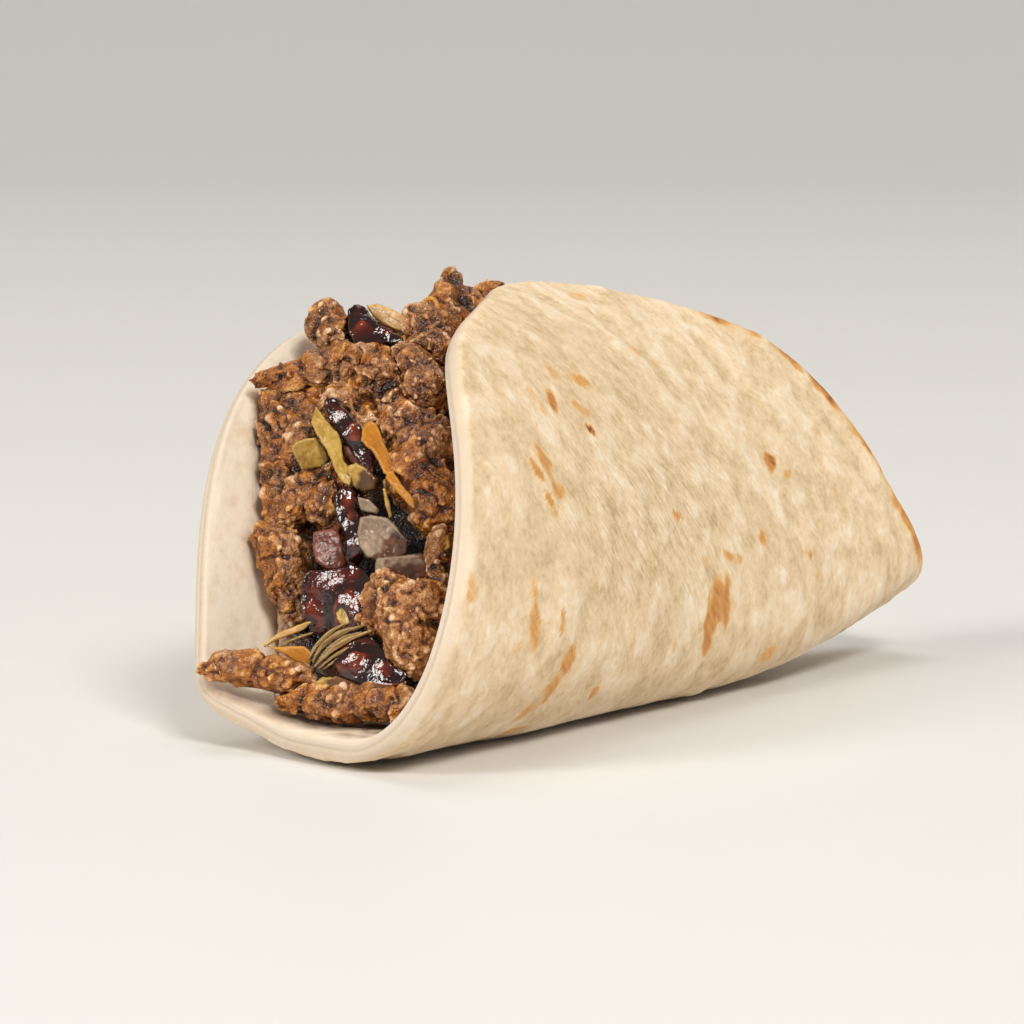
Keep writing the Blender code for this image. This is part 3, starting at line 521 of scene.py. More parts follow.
dough = shades(tree, level, [
    (0.22, 0.58, 0.41, 0.215),
    (0.42, 0.745, 0.560, 0.345),
    (0.58, 0.835, 0.650, 0.430),
    (0.80, 0.920, 0.790, 0.610),
])
side = node(tree, "ShaderNodeSeparateXYZ", {"Vector": spot})
is_outer = maths(tree, "GREATER_THAN", side.outputs["Z"], 0.0)
plain = weighed(tree, (patches, 1.5), plus=-0.18)
inside = shades(tree, plain, [(0.30, 0.82, 0.690, 0.520), (0.60, 0.94, 0.845, 0.700)])
dough = mixed(tree, is_outer, inside, dough)
# Painted shade: the rolled rim band is darkened, so that its roll does not shine out bright where the lamps
# catch it.
dough = mixed(tree, maths(tree, "MULTIPLY", band, 0.8), dough, (0.55, 0.455, 0.360))

# Toast: broken up by the dough's streaks, orange at its edges and brown in the middle.
broken = maths(tree, "MULTIPLY", toasted, weighed(tree, (drawn, 0.32), plus=0.78))
broken = maths(tree, "MULTIPLY", broken, weighed(tree, (fine, 0.14), plus=0.93))
toast_colour = shades(tree, broken, [
    (0.10, 0.80, 0.53, 0.23),
    (0.40, 0.72, 0.38, 0.11),
    (0.75, 0.53, 0.21, 0.045),
    (1.00, 0.17, 0.05, 0.02),
])
dough = mixed(tree, stretch_range(tree, broken, (0.05, 0.50), steps="SMOOTHSTEP"), dough, toast_colour)
greasy_edge = weighed(tree, (fine_patches, 0.3), (stained, 1.0), plus=-0.15)
soak = stretch_range(tree, greasy_edge, (0.15, 0.95))
fat = shades(tree, soak, [(0.1, 0.66, 0.44, 0.20), (0.4, 0.38, 0.18, 0.05), (0.8, 0.11, 0.040, 0.010)])
# The fat colour here is partly grease and partly painted shadow on the fold's floor.
dough = mixed(tree, maths(tree, "MULTIPLY", soak, stained), dough, fat)
tree.links.new(dough, shader.inputs["Base Color"])
shader.inputs["Roughness"].default_value = 0.58
softened(shader, 0.10, (1.0, 0.5, 0.25), 0.003)
height = weighed(tree, (flour, 0.25), (drawn, 0.07), (fine, 0.05))
height = weighed(tree, (fine_patches, 0.8), (creases, 0.9), (patches, 1.3), plus=height)
height = maths(tree, "MULTIPLY", height, weighed(tree, (is_outer, 0.5), plus=0.5))
bumped(tree, shader, maths(tree, "MULTIPLY", height, calm), 0.6, 0.00025)

folded_tortilla.data.materials.append(tortilla_look)
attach(folded_tortilla, "root")
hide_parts("tortilla")


# The beef was smashed on a hot steel and broken up: lumps of fused grains and short fibres,
# seared brown and golden where it crisped, with painted shade darkening its cracks and a pinkish tan
# painted highlight where the grains stand out.
# Its lumps keep to the imported solids, which are laid out as an eye in front of the mouth sees them.
EYE_TURN = -56.644
EYE_TILT = 5.989
EYE_DISTANCE = 0.82591
EYE_AIM = Vector((-0.00926, 0.00394, 0.02804))
SCREEN_DISTANCE = 863.0
BEEF_VOXEL = 0.00019
CORE_VOXEL = 0.00052
CORE_COARSENESS = 1.7
SOAKED_REACH = (0.0065, 0.0040)
GRAIN_RADIUS = (0.00026, 0.00078)
GRAINS_PER_MM2 = 0.60
CRISP_REACH = 0.0045
CRISP_GRAIN_RADIUS = (0.00020, 0.00055)

GRAINS = (0.00175, 0.00026)
FINE_GRAINS = (0.00085, 0.00012)
LUMPS = (0.0048, 0.00060)
CRACKS = (0.0034, 0.00034)
PROUD_HEIGHT = 0.0016


def towards(turn, tilt):
    """The direction at an angle round the taco and an angle above the table."""
    turn, tilt = math.radians(turn), math.radians(tilt)
    return Vector((math.sin(turn) * math.cos(tilt), -math.cos(turn) * math.cos(tilt), math.sin(tilt)))


EYE_BACK = np.array(towards(EYE_TURN, EYE_TILT))
EYE_RIGHT = np.array((math.cos(math.radians(EYE_TURN)), math.sin(math.radians(EYE_TURN)), 0.0))
EYE_UP = np.cross(EYE_BACK, EYE_RIGHT)
EYE = np.array(EYE_AIM) + EYE_BACK * EYE_DISTANCE


def read(things, name, kind=float, width=3):
    """One property of many parts of a mesh, a row for each part."""
    values = np.empty(len(things) * width, kind)
    things.foreach_get(name, values)
    return values.reshape(-1, width)


def shell_of(made):
    mesh = made.data
    mesh.calc_loop_triangles()
    return read(mesh.vertices, "co"), read(mesh.loop_triangles, "vertices", int)


def triangles_of(node_name):
    """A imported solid's corner points and triangles, with points that coincide made one."""
    points, faces = shell_of(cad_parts[node_name])
    points, index = np.unique(points.round(7), axis=0, return_inverse=True)
    return points, index.reshape(-1)[faces]


def joined(shells):
    starts = np.cumsum([0] + [len(points) for points, _ in shells])
    points = np.concatenate([points for points, _ in shells])
    return points, np.concatenate([faces + start for (_, faces), start in zip(shells, starts)])


def ball_template(subdivisions):
    bm = bmesh.new()
    bmesh.ops.create_icosphere(bm, subdivisions=subdivisions, radius=1.0)
    points = np.array([vert.co[:] for vert in bm.verts])
    faces = np.array([[vert.index for vert in face.verts] for face in bm.faces])
    bm.free()
    return points, faces


BALL = ball_template(2)


def grains_on(points, faces, per_mm2, radii, seed, sink=0.35):
    """Uneven little balls half sunk in a surface, as one set of points and triangles."""
    chance = np.random.default_rng(seed)
    corners = points[faces]
    normals = np.cross(corners[:, 1] - corners[:, 0], corners[:, 2] - corners[:, 0])
    areas = np.linalg.norm(normals, axis=1) / 2
    number = int(areas.sum() * 1e6 * per_mm2)
    chosen = chance.choice(len(faces), number, p=areas / areas.sum())
    u, v = chance.random((2, number))
    u, v = np.where(u + v > 1, 1 - u, u), np.where(u + v > 1, 1 - v, v)
    at = sum(corners[chosen, k] * share[:, None] for k, share in enumerate((1 - u - v, u, v)))
    radius = radii[0] + (radii[1] - radii[0]) * chance.random(number) ** 2.2
    outwards = normals[chosen] / (2 * areas[chosen, None] + 1e-12)
    at = at - outwards * (radius * sink)[:, None]
    stretch = chance.uniform(0.55, 1.7, (number, 3))
    turns = np.linalg.qr(chance.normal(size=(number, 3, 3)))[0]
    shape = BALL[0][None] * stretch[:, None, :] * radius[:, None, None]
    shape = np.einsum("nij,npj->npi", turns, shape) + at[:, None, :]
    flip = np.linalg.det(turns) < 0
    faces_each = np.where(flip[:, None, None], BALL[1][None, :, ::-1], BALL[1][None])
    starts = np.arange(number)[:, None, None] * len(BALL[0])
    return shape.reshape(-1, 3), (faces_each + starts).reshape(-1, 3)


def fused(name, shells, voxel):
    """One closed skin round overlapping shells, divided evenly."""
    made = mesh_object(name, *joined(shells))
    remesh = made.modifiers.new("fuse", "REMESH")
    remesh.mode = "VOXEL"
    remesh.voxel_size = voxel
    bpy.context.view_layer.update()
    graph = bpy.context.evaluated_depsgraph_get()
    whole = bpy.data.meshes.new_from_object(made.evaluated_get(graph))
    made.modifiers.clear()
    made.data = whole
    return made


def smoothed(points, mesh, rounds):
    """Each point moved to the middle of its neighbours, so many times over."""
    one, other = read(mesh.edges, "vertices", int, 2).T
    degree = np.bincount(np.concatenate([one, other]), minlength=len(points))
    for _ in range(rounds):
        total = sum(
            np.stack([np.bincount(here, column, len(points)) for column in points[there].T], axis=1)
            for here, there in ((one, other), (other, one))
        )
        points = total / degree[:, None]
    return points


def sear(made, seed, crisp, coarse=1.0):
    """Roughens a beef skin into grains and cracks, and stores how granular it is and how far each point
    stands out, which the colour uses as painted shade in the cracks and a painted highlight on the grains.
    """
    mesh = made.data
    points, normals = read(mesh.vertices, "co"), read(mesh.vertex_normals, "vector")
    places = points / coarse
    bend = np.stack([cloud(places, 0.0018, seed + k, 3) for k in range(3)], axis=1) * 0.0013
    granular = ease(cloud(places, 0.0050, seed + 7, 3) * 1.8 + 0.60)
    grain = GRAINS[1] * (0.45 - crumbs(places + bend, GRAINS[0], seed))
    fine_grain = FINE_GRAINS[1] * (0.45 - crumbs(places + bend * 0.6, FINE_GRAINS[0], seed + 3))
    crack = np.clip(1 - np.abs(cloud(places, CRACKS[0], seed + 9, 3)) * 4.5, 0, 1)
    push = (grain + fine_grain) * (0.25 + 0.95 * granular)
    push += LUMPS[1] * cloud(places, LUMPS[0], seed + 5, 3) - CRACKS[1] * crack**3
    points = points + normals * (push * coarse)[:, None]
    mesh.vertices.foreach_set("co", points.ravel())
    mesh.update()
    mesh.shade_smooth()
    normals = read(mesh.vertex_normals, "vector")
    # How far each point stands out of its smoothed neighbours, at two scales: the colour paints shade in
    # the cracks and hollows and a highlight on the grains.
    near = smoothed(points, mesh, 12)
    proud = ((points - near) * normals).sum(axis=1) / PROUD_HEIGHT
    proud += ((points - smoothed(near, mesh, 60)) * normals).sum(axis=1) / PROUD_HEIGHT
    spread(mesh, "proud", np.clip(0.5 + proud, 0, 1))
    spread(mesh, "granular", granular)
    left = -points @ EYE_RIGHT
    spread(mesh, "crisp", np.clip(1 + (left - left.max()) / CRISP_REACH, 0, 1) * crisp)


def on_screen(points):
    """Where the eye sees these points on its screen, across and up in mm."""
    away = points - EYE
    depth = -(away @ EYE_BACK)
    return np.stack([away @ EYE_RIGHT, away @ EYE_UP], axis=1) / depth[:, None] * SCREEN_DISTANCE


def sight(spots):
    """The directions from the eye through spots of its screen."""
    ray = spots[:, :1] * EYE_RIGHT + spots[:, 1:] * EYE_UP - SCREEN_DISTANCE * EYE_BACK
    return ray / np.linalg.norm(ray, axis=1)[:, None]


def tree_of(shells):
    points, faces = joined(shells)
    return BVHTree.FromPolygons(points.tolist(), faces.tolist())


def distances(tree, spots):
    """How far from the eye each line of sight meets the tree, or not a number."""
    eye = Vector(EYE)
    hits = [tree.ray_cast(eye, Vector(ray))[3] for ray in sight(spots)]
    return np.array([np.nan if hit is None else hit for hit in hits])


def front_plane(node_name):
    """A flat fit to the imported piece's front: its distance from the eye, and the slopes across and up."""
    shell = triangles_of(node_name)
    seen = on_screen(shell[0])
    low, high = seen.min(axis=0), seen.max(axis=0)
    across, up = np.linspace(low, high, 15).T
    spots = np.stack(np.meshgrid(across, up, indexing="ij"), axis=-1).reshape(-1, 2)
    away = distances(tree_of([shell]), spots)
    hit = ~np.isnan(away)
    table = np.column_stack([np.ones(hit.sum()), spots[hit]])
    return np.linalg.lstsq(table, away[hit], rcond=None)[0]


# Greasy: where fat lies on a surface it is smoother, in small pools and specks.
greasy, given, result = effect("greasy", (("Grain", 0.001),), ("Roughness", "Height"))
scale = maths(greasy, "DIVIDE", 1.0, given.outputs["Grain"])
pools = noise(greasy, given.outputs["Place"], scale, 2.0)
greasy.links.new(stretch_range(greasy, pools, (0.38, 0.62), (0.07, 0.44)), result.inputs["Roughness"])
drops = {"Vector": given.outputs["Place"], "Scale": maths(greasy, "MULTIPLY", scale, 2.2)}
drops = node(greasy, "ShaderNodeTexVoronoi", drops, feature="SMOOTH_F1").outputs["Distance"]
greasy.links.new(weighed(greasy, (drops, -0.8), (pools, 1.0)), result.inputs["Height"])


def beef_material(name, seared, golden, share):
    """Beef coloured from painted shade in its cracks to a painted highlight on its raised grains: seared
    where granular, golden where smooth, and near black where sauce soaks in and painted shade lies.
    """
    made, tree, shader = new_material(name)
    place = node(tree, "ShaderNodeTexCoord").outputs["Object"]
    attributes = ("proud", "granular", "crisp", "soaked")
    proud, granular, crisp, soaked = (stored(tree, name) for name in attributes)
    patches = noise(tree, place, 330.0, 4.0)
    # Painted shade and highlight: the colour darkens in the cracks and pales on the raised grains.
    level = weighed(tree, (proud, 1.05), (noise(tree, place, 1700.0, 4.0), 0.66), plus=-0.42)
    gold = weighed(tree, (crisp, 0.3), (granular, -0.25), (patches, 1.0), plus=0.15)
    gold = stretch_range(tree, gold, (0.60 - share * 0.2, 0.68 - share * 0.2), steps="SMOOTHSTEP")
    colour = mixed(tree, gold, shades(tree, level, seared), shades(tree, level, golden))
    colour = mixed(tree, soaked, colour, shades(tree, level, SOAKED))
    tree.links.new(colour, shader.inputs["Base Color"])
    grease = place_effect(tree, greasy, {"Place": place, "Grain": 0.0007})
    tree.links.new(grease.outputs["Roughness"], shader.inputs["Roughness"])
    bumped(tree, shader, grease.outputs["Height"], 0.9, 0.00036)
    shader.inputs["IOR"].default_value = 1.50
    softened(shader, 0.08, (1.0, 0.35, 0.12), 0.0015)
    return made


# Each ramp runs from painted shade at its low stops, for the cracks, to a painted highlight at its top
# stop, for the raised grains.
SEARED = [
    (0.16, 0.010, 0.003, 0.0006),
    (0.34, 0.080, 0.022, 0.004),
    (0.54, 0.215, 0.078, 0.018),
    (0.72, 0.380, 0.170, 0.060),
    (0.94, 0.680, 0.450, 0.280),
]
GOLDEN = [
    (0.14, 0.014, 0.003, 0.0006),
    (0.34, 0.110, 0.026, 0.003),
    (0.54, 0.270, 0.082, 0.008),
    (0.74, 0.430, 0.170, 0.026),
    (0.94, 0.650, 0.370, 0.140),
]
PALE = [
    (0.12, 0.025, 0.007, 0.0015),
    (0.32, 0.140, 0.042, 0.009),
    (0.54, 0.340, 0.136, 0.038),
    (0.76, 0.540, 0.285, 0.120),
    (0.95, 0.720, 0.500, 0.330),
]
# Near-black colours where the core meets the sauce: partly sauce soaking in, partly painted shade.
SOAKED = [(0.2, 0.0015, 0.0005, 0.0003), (0.6, 0.010, 0.0025, 0.0009), (0.95, 0.055, 0.018, 0.006)]
seared_look = beef_material("seared_beef", SEARED, GOLDEN, 0.5)
pale_look = beef_material("pale_beef", PALE, GOLDEN, 0.3)

CRISP_PARTS = ("arm", "crisp_front", "bottom_row", "tongue", "spire", "ridge")
# Crumbs packed behind the foremost pieces: what they lie behind, across and up on the eye's
# screen, how far behind, and their radius, in mm.
DEEP_CRUMBS = (
    ("sauce_streak", -25.0, 15.6, 6.0, 4.2),
    ("sauce_streak", -21.8, 13.0, 6.0, 4.0),
    ("sauce_streak", -27.4, 18.6, 7.0, 4.0),
    ("sauce_top", -18.6, 26.0, 6.0, 3.6),
    ("sauce_top", -20.4, 23.6, 6.0, 3.6),
    ("sauce_top", -23.6, 22.4, 6.5, 3.4),
)
deep_shells = []
for node_name, across, up, deep, radius in DEEP_CRUMBS:
    plane = front_plane(node_name)
    away = plane[0] + plane[1] * across + plane[2] * up + deep * MM
    centre = EYE + sight(np.array([[across, up]]))[0] * away
    deep_shells.append((BALL[0] * radius * MM + centre, BALL[1]))
deep_shells += [
    grains_on(*shell, GRAINS_PER_MM2, GRAIN_RADIUS, 90 + number, 0.5)
    for number, shell in enumerate(deep_shells)
]
made = fused("seared_deep_crumbs", deep_shells, BEEF_VOXEL * 1.3)
sear(made, 190, False)
made.data.materials.clear()
made.data.materials.append(seared_look)
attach(made, "root")
seared_pieces = [made]
wet_nodes = [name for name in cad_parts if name.startswith(("sauce_", "onion_l", "onion_purple"))]
wet_pieces = tree_of([triangles_of(name) for name in sorted(wet_nodes)])
for number, node_name in enumerate(sorted(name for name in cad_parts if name.startswith("beef_"))):
    core, pale, crisp = node_name == "beef_core", node_name == "beef_nugget", node_name[5:] in CRISP_PARTS
    shells = [triangles_of(node_name)]
    radii = CRISP_GRAIN_RADIUS if crisp else GRAIN_RADIUS
    shells.append(grains_on(*shells[0], GRAINS_PER_MM2 * (0.5 if core else 1.0), radii, 100 + number, 0.5))
    made = fused(node_name.replace("beef_", "seared_"), shells, CORE_VOXEL if core else BEEF_VOXEL)
    sear(made, 200 + 10 * number, crisp, CORE_COARSENESS if core else 1.0)
    if core:
        # Near the sauce and onion the core darkens nearly to black: partly sauce soaking in, partly painted
        # shade for the dark hollows behind the pieces in front.
        away = [wet_pieces.find_nearest(vert.co)[3] for vert in made.data.vertices]
        spread(made.data, "soaked", 1 - ease((np.array(away) - SOAKED_REACH[0]) / SOAKED_REACH[1]))
    made.data.materials.clear()
    made.data.materials.append(pale_look if pale else seared_look)
    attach(made, "root")
    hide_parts(node_name)
    seared_pieces.append(made)

# Fat has soaked into the tortilla's inner face where the filling touches it. On the floor of the fold it
# reaches further, and the pool there is partly grease and partly painted shadow under the bottom row of
# beef.
STAIN_REACH = 0.0022
FLOOR_STAIN_REACH = 0.0060
FLOOR_FAT = (-64, -1, 11, 12)
dough = folded_tortilla.data
flat_points = read(dough.attributes["flat"].data, "vector", np.float32)
inner = flat_points[:, 2] < 0
filling = tree_of([shell_of(made) for made in seared_pieces])
stain = np.zeros(len(dough.vertices))
dough_places = read(dough.vertices, "co")
reach = FLOOR_STAIN_REACH + (STAIN_REACH - FLOOR_STAIN_REACH) * ease((dough_places[:, 2] - 0.006) / 0.006)
for index in np.flatnonzero(inner & (dough_places[:, 0] < STAIN_REACH * 2)):
    found = filling.find_nearest(dough.vertices[index].co, reach[index])
    if found[0] is not None:
        stain[index] = 1 - found[3] / reach[index]
# Painted shadow and grease: a darkened pool on the floor of the fold, under the bottom row of beef.
x, across = flat_points[:, 0] / MM - FLOOR_FAT[0], flat_points[:, 1] / MM - FLOOR_FAT[1]
pool = np.exp(-((x / FLOOR_FAT[2]) ** 2) - ((across / FLOOR_FAT[3]) ** 2))
pool *= 1.0 + 1.1 * cloud(flat_points[:, :2], 0.0045, 61, 3)
stain = np.maximum(stain, np.where(inner, pool, 0))
spread(dough, "stain", stain)


# The pickles are gherkins cut by hand into slivers, wedges and chips: yellow-green, wet and
# translucent, pressed into the beef and smeared with sauce. Outlines are (across, up) in mm on the
# eye's screen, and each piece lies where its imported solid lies.
CUT_STEP = 0.12
CUT_SINK = 0.00025
EDGE_STEP = 0.22
EDGE_WAVES = 1.1
RIM_WIDTH = 0.45


def rounded(outline, rounds):
    """The outline with its corners cut, so many times over."""
    outline = np.array(outline, float)
    for _ in range(rounds):
        ahead = np.roll(outline, -1, axis=0)
        quarters = [outline * 0.75 + ahead * 0.25, outline * 0.25 + ahead * 0.75]
        outline = np.stack(quarters, axis=1).reshape(-1, 2)
    return outline


def ragged_outline(outline, seed, amount):
    """The outline divided finely and made uneven, with its corners kept."""
    parts = []
    for start, end in zip(outline, np.roll(outline, -1, axis=0)):
        count = max(1, int(np.linalg.norm(end - start) / EDGE_STEP))
        parts.append(start + (end - start) * (np.arange(count) / count)[:, None])
    outline = np.concatenate(parts)
    ahead = np.roll(outline, -1, axis=0) - np.roll(outline, 1, axis=0)
    side = np.stack([ahead[:, 1], -ahead[:, 0]], axis=1) / (np.linalg.norm(ahead, axis=1)[:, None] + 1e-9)
    return outline + side * (cloud(outline, EDGE_WAVES, seed, 3) * amount)[:, None]


def inside_by(spots, outline):
    """How far inside the outline each spot lies (outside is negative), and the outline's nearest point."""
    best, nearest = np.full(len(spots), 1e9), np.zeros_like(spots)
    inside = np.zeros(len(spots), bool)
    for start, end in zip(outline, np.roll(outline, -1, axis=0)):
        along = end - start
        part = np.clip((spots - start) @ along / (along @ along + 1e-12), 0, 1)
        at = start + part[:, None] * along
        gap = np.linalg.norm(spots - at, axis=1)
        nearest[gap < best] = at[gap < best]
        best = np.minimum(best, gap)
        crossed = (start[1] > spots[:, 1]) != (end[1] > spots[:, 1])
        level = (spots[:, 1] - start[1]) / (end[1] - start[1] if end[1] != start[1] else 1e-12)
        inside ^= crossed & (spots[:, 0] < start[0] + level * along[0])
    return np.where(inside, best, -best), nearest


def outlined_grid(solid, outline, round_over):
    """A grid of spots on the eye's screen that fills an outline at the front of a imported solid.

    Gives the spots, the same with a third coordinate, the cells, how far inside each spot lies, how
    full the rounded piece is there, what lies on the edge, and how far off the solid's front is.
    """
    step = CUT_STEP
    low, high = outline.min(axis=0) - step, outline.max(axis=0) + step
    across = np.arange(low[0], high[0] + step, step)
    up = np.arange(low[1], high[1] + step, step)
    spots = np.stack(np.meshgrid(across, up, indexing="ij"), axis=-1).reshape(-1, 2)
    gap, nearest = inside_by(spots, outline)
    cells = grid_cells(len(across), len(up))
    cells = cells[(gap[cells] > -step * 0.72).all(axis=1) & (gap[cells] > 0).any(axis=1)]
    spots[gap < 0] = nearest[gap < 0]
    used, cells = only_used(cells)
    edge = np.bincount(cells.ravel(), minlength=len(used)) < 4
    spots, inward = spots[used], np.maximum(gap[used], 0)
    swell = np.sqrt(1 - (1 - np.minimum(inward / round_over, 1)) ** 2)
    plane = front_plane(solid)
    front = plane[0] + spots @ plane[1:]
    return spots, np.column_stack([spots, 0 * inward]), cells, inward, swell, edge, front


def plate_object(name, spots, cells, edge, front, rear):
    """A closed piece between two distances from the eye, joined along its edge."""
    middle = (front + rear) / 2
    front, rear = np.where(edge, middle, front), np.where(edge, middle, rear)
    rays = sight(spots)
    points = np.concatenate([EYE + rays * front[:, None], EYE + rays * rear[:, None]])
    used, faces = two_sided(cells, edge)
    return mesh_object(name, points[used], faces), used


def cut_piece(
    solid, name, outline, size, look, seed, stands_for=None, rounds=0, ragged=0.13, smear=0.1
):
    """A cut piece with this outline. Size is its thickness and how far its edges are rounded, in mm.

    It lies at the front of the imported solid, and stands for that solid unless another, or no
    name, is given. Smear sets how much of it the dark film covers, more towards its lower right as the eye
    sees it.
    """
    outline = ragged_outline(rounded(outline, rounds), seed, ragged)
    spots, flat_spots, cells, inward, swell, edge, front = outlined_grid(solid, outline, size[1])
    half = size[0] * MM / 2
    middle = front + half * 0.6 + CUT_SINK
    middle = middle + cloud(flat_spots, 3.4, seed + 1, 1) * 0.00045
    relief = cloud(flat_spots, 1.3, seed + 2, 2) * 0.00013 + cloud(flat_spots, 0.45, seed + 7, 1) * 0.00003
    front, rear = middle - half * swell - relief * swell, middle + half * swell
    made, used = plate_object(name, spots, cells, edge, front, rear)
    centred = spots - spots.mean(axis=0)
    long_way = np.linalg.svd(centred, full_matrices=False)[2][0]
    short_way = (-long_way[1], long_way[0])
    along = np.column_stack([centred @ long_way, centred @ short_way, 0 * inward]) * MM
    # Each piece is darker towards its lower right as the eye sees it, where more of the dark film covers
    # it.
    low_right = centred @ (0.7, -0.7) / np.abs(centred).max()
    covered = cloud(flat_spots, 1.7, seed + 3, 3) * 0.9 + 2 * smear - 1 + 0.9 * low_right
    rim, covered = 1 - np.minimum(inward / RIM_WIDTH, 1), ease(covered / 0.35 + 0.3)
    for label, values in (("along", along), ("rim", rim), ("smear", covered)):
        spread(made.data, label, np.concatenate([values, values])[used])
    made.data.materials.append(look)
    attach(made, "root")
    if stands_for != "":
        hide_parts(stands_for or solid)


def wet_material(name, colours, edges, streak=(0.0040, 0.0007, 0.10), roughness=0.20, soft=0.35):
    """A wet cut piece: colours along its fibres, another at its edges, and sauce smeared over it.

    The streak is its fibres' length, width and share.
    """
    made, tree, shader = new_material(name)
    place = node(tree, "ShaderNodeTexCoord").outputs["Object"]
    rim, smear = stored(tree, "rim"), stored(tree, "smear")
    length, width, share = streak
    lines = node(tree, "ShaderNodeAttribute", attribute_name="along").outputs["Vector"]
    fibre = {"Place": lines, "Length": length, "Width": width, "Low": 0.30, "High": 0.70}
    fibres = maths(tree, "MULTIPLY", place_effect(tree, streaks, fibre).outputs[0], share)
    clouds = noise(tree, place, 420.0, 4.0)
    cloudy = weighed(tree, (clouds, 0.65), (noise(tree, place, 1500.0, 3.0), 0.35))
    level = weighed(tree, (cloudy, 1 - share), plus=fibres)
    colour = mixed(tree, maths(tree, "MULTIPLY", rim, 0.6), shades(tree, level, colours), edges)
    film = shades(tree, clouds, [(0.35, 0.020, 0.004, 0.0015), (0.65, 0.110, 0.028, 0.008)])
    colour = mixed(tree, maths(tree, "MULTIPLY", smear, 0.88), colour, film)
    tree.links.new(colour, shader.inputs["Base Color"])
    tree.links.new(stretch_range(tree, smear, (0.0, 1.0), (roughness, 0.07)), shader.inputs["Roughness"])
    softened(shader, soft, (1.0, 0.8, 0.4), 0.0015)
    bumped(tree, shader, maths(tree, "ADD", noise(tree, place, 1300.0, 5.0), fibres), 0.70, 0.00028)
    return made


pickle_look = wet_material(
    "pickled_gherkin",
    [(0.22, 0.19, 0.090, 0.010), (0.46, 0.355, 0.212, 0.035), (0.72, 0.575, 0.380, 0.105)],
    (0.44, 0.295, 0.070),
    (0.0035, 0.0009, 0.10),
)
PICKLE_CUTS = (
    ("pickle_sliver", (1.2, 0.35), 0.08, [
        (-29.8, 16.2), (-28.9, 15.1), (-27.2, 12.8), (-26.2, 11.8), (-25.8, 10.2), (-25.5, 7.8),
        (-24.0, 5.8), (-24.6, 3.9), (-25.8, 4.5), (-26.9, 6.3), (-27.5, 8.1), (-28.4, 9.7),
        (-29.8, 12.0), (-30.6, 13.6),
    ]),
    ("pickle_wedge", (1.3, 0.30), 0.0, [
        (-33.5, 9.6), (-32.7, 10.7), (-31.3, 11.1), (-29.8, 11.3), (-28.5, 10.0), (-27.7, 7.9),
        (-28.9, 6.8), (-31.9, 6.4), (-32.7, 7.9),
    ]),
    ("pickle_chip", (1.2, 0.7), 0.45, [
        (-25.0, 7.0), (-23.6, 7.4), (-21.8, 6.6), (-20.3, 5.0), (-20.7, 3.4), (-22.4, 3.0),
        (-23.8, 3.5), (-25.0, 5.4),
    ]),
    ("pickle_tip", (1.0, 0.35), 0.15, [
        (-25.3, -13.2), (-24.3, -15.4), (-24.4, -16.9), (-25.6, -17.6), (-26.5, -16.4), (-26.7, -15.3),
    ]),
    ("pickle_bit", (1.0, 0.5), 0.72, [
        (-29.9, -25.8), (-28.8, -25.0), (-26.2, -24.9), (-24.2, -25.6), (-24.6, -26.9), (-28.8, -27.3),
    ]),
)
for number, (solid, size, smear, outline) in enumerate(PICKLE_CUTS):
    name = solid.replace("pickle_", "sliced_pickle_")
    cut_piece(solid, name, outline, size, pickle_look, 430 + 10 * number, smear=smear)
outline = [(-11.4, -3.9), (-9.6, -3.4), (-9.2, -5.4), (-10.6, -6.4), (-11.6, -5.4)]
size = (0.9, 0.35)
name = "sliced_pickle_crumb"
cut_piece("beef_right_slice", name, outline, size, pickle_look, 485, "", smear=0.3)

# Some of the pickle is shredded. Its strands fan out over the sauce, and one lies by the onion's.
STRAND_SIZE = (0.7, 0.35)
FINE_STRAND_SIZE = (0.5, 0.25)


def shred(path, widths):
    """The outline of a shred: a path of (across, up) points with its half widths, all in mm."""
    at = np.linspace(0, len(path) - 1, 12)
    line = np.stack([np.interp(at, range(len(path)), column) for column in zip(*path)], axis=1)
    line[1:-1] = (line[:-2] + 2 * line[1:-1] + line[2:]) / 4
    half = np.interp(at, range(len(widths)), widths)
    ahead = np.gradient(line, axis=0)
    side = np.stack([-ahead[:, 1], ahead[:, 0]], axis=1) / np.linalg.norm(ahead, axis=1)[:, None]
    return np.concatenate([line + side * half[:, None], (line - side * half[:, None])[::-1]])


strand_look = wet_material(
    "pickle_strands",
    [(0.25, 0.12, 0.055, 0.015), (0.55, 0.29, 0.17, 0.060), (0.85, 0.62, 0.48, 0.27)],
    (0.38, 0.26, 0.09),
    (0.0060, 0.00030, 0.40),
    0.16,
    0.30,
)
LONG, LOW, ONION = "pickle_strand_long", "pickle_strand_low", "onion_strand"
STRANDS = (
    (LONG, [(-30.3, -22.8), (-28.8, -20.2), (-26.2, -18.3), (-22.2, -17.2)], [0.22, 0.48, 0.55, 0.18]),
    (LOW, [(-30.1, -23.6), (-27.6, -21.0), (-24.9, -19.3), (-21.2, -18.0)], [0.20, 0.46, 0.48, 0.18]),
    (LONG, [(-29.8, -23.2), (-28.0, -20.8), (-25.6, -19.0), (-22.6, -18.2)], [0.14, 0.34, 0.34, 0.14]),
    (LOW, [(-28.6, -23.9), (-26.4, -22.2), (-24.4, -21.4), (-22.9, -21.2)], [0.14, 0.30, 0.30, 0.12]),
    (LONG, [(-31.0, -22.6), (-29.6, -20.0), (-27.2, -17.9), (-25.2, -16.9)], [0.14, 0.34, 0.34, 0.14]),
    (LOW, [(-29.4, -23.8), (-26.9, -21.7), (-24.2, -20.4), (-22.0, -19.8)], [0.14, 0.30, 0.30, 0.12]),
    (ONION, [(-35.4, -20.6), (-33.4, -19.4), (-31.2, -18.6), (-29.4, -18.1)], [0.10, 0.26, 0.25, 0.10]),
)
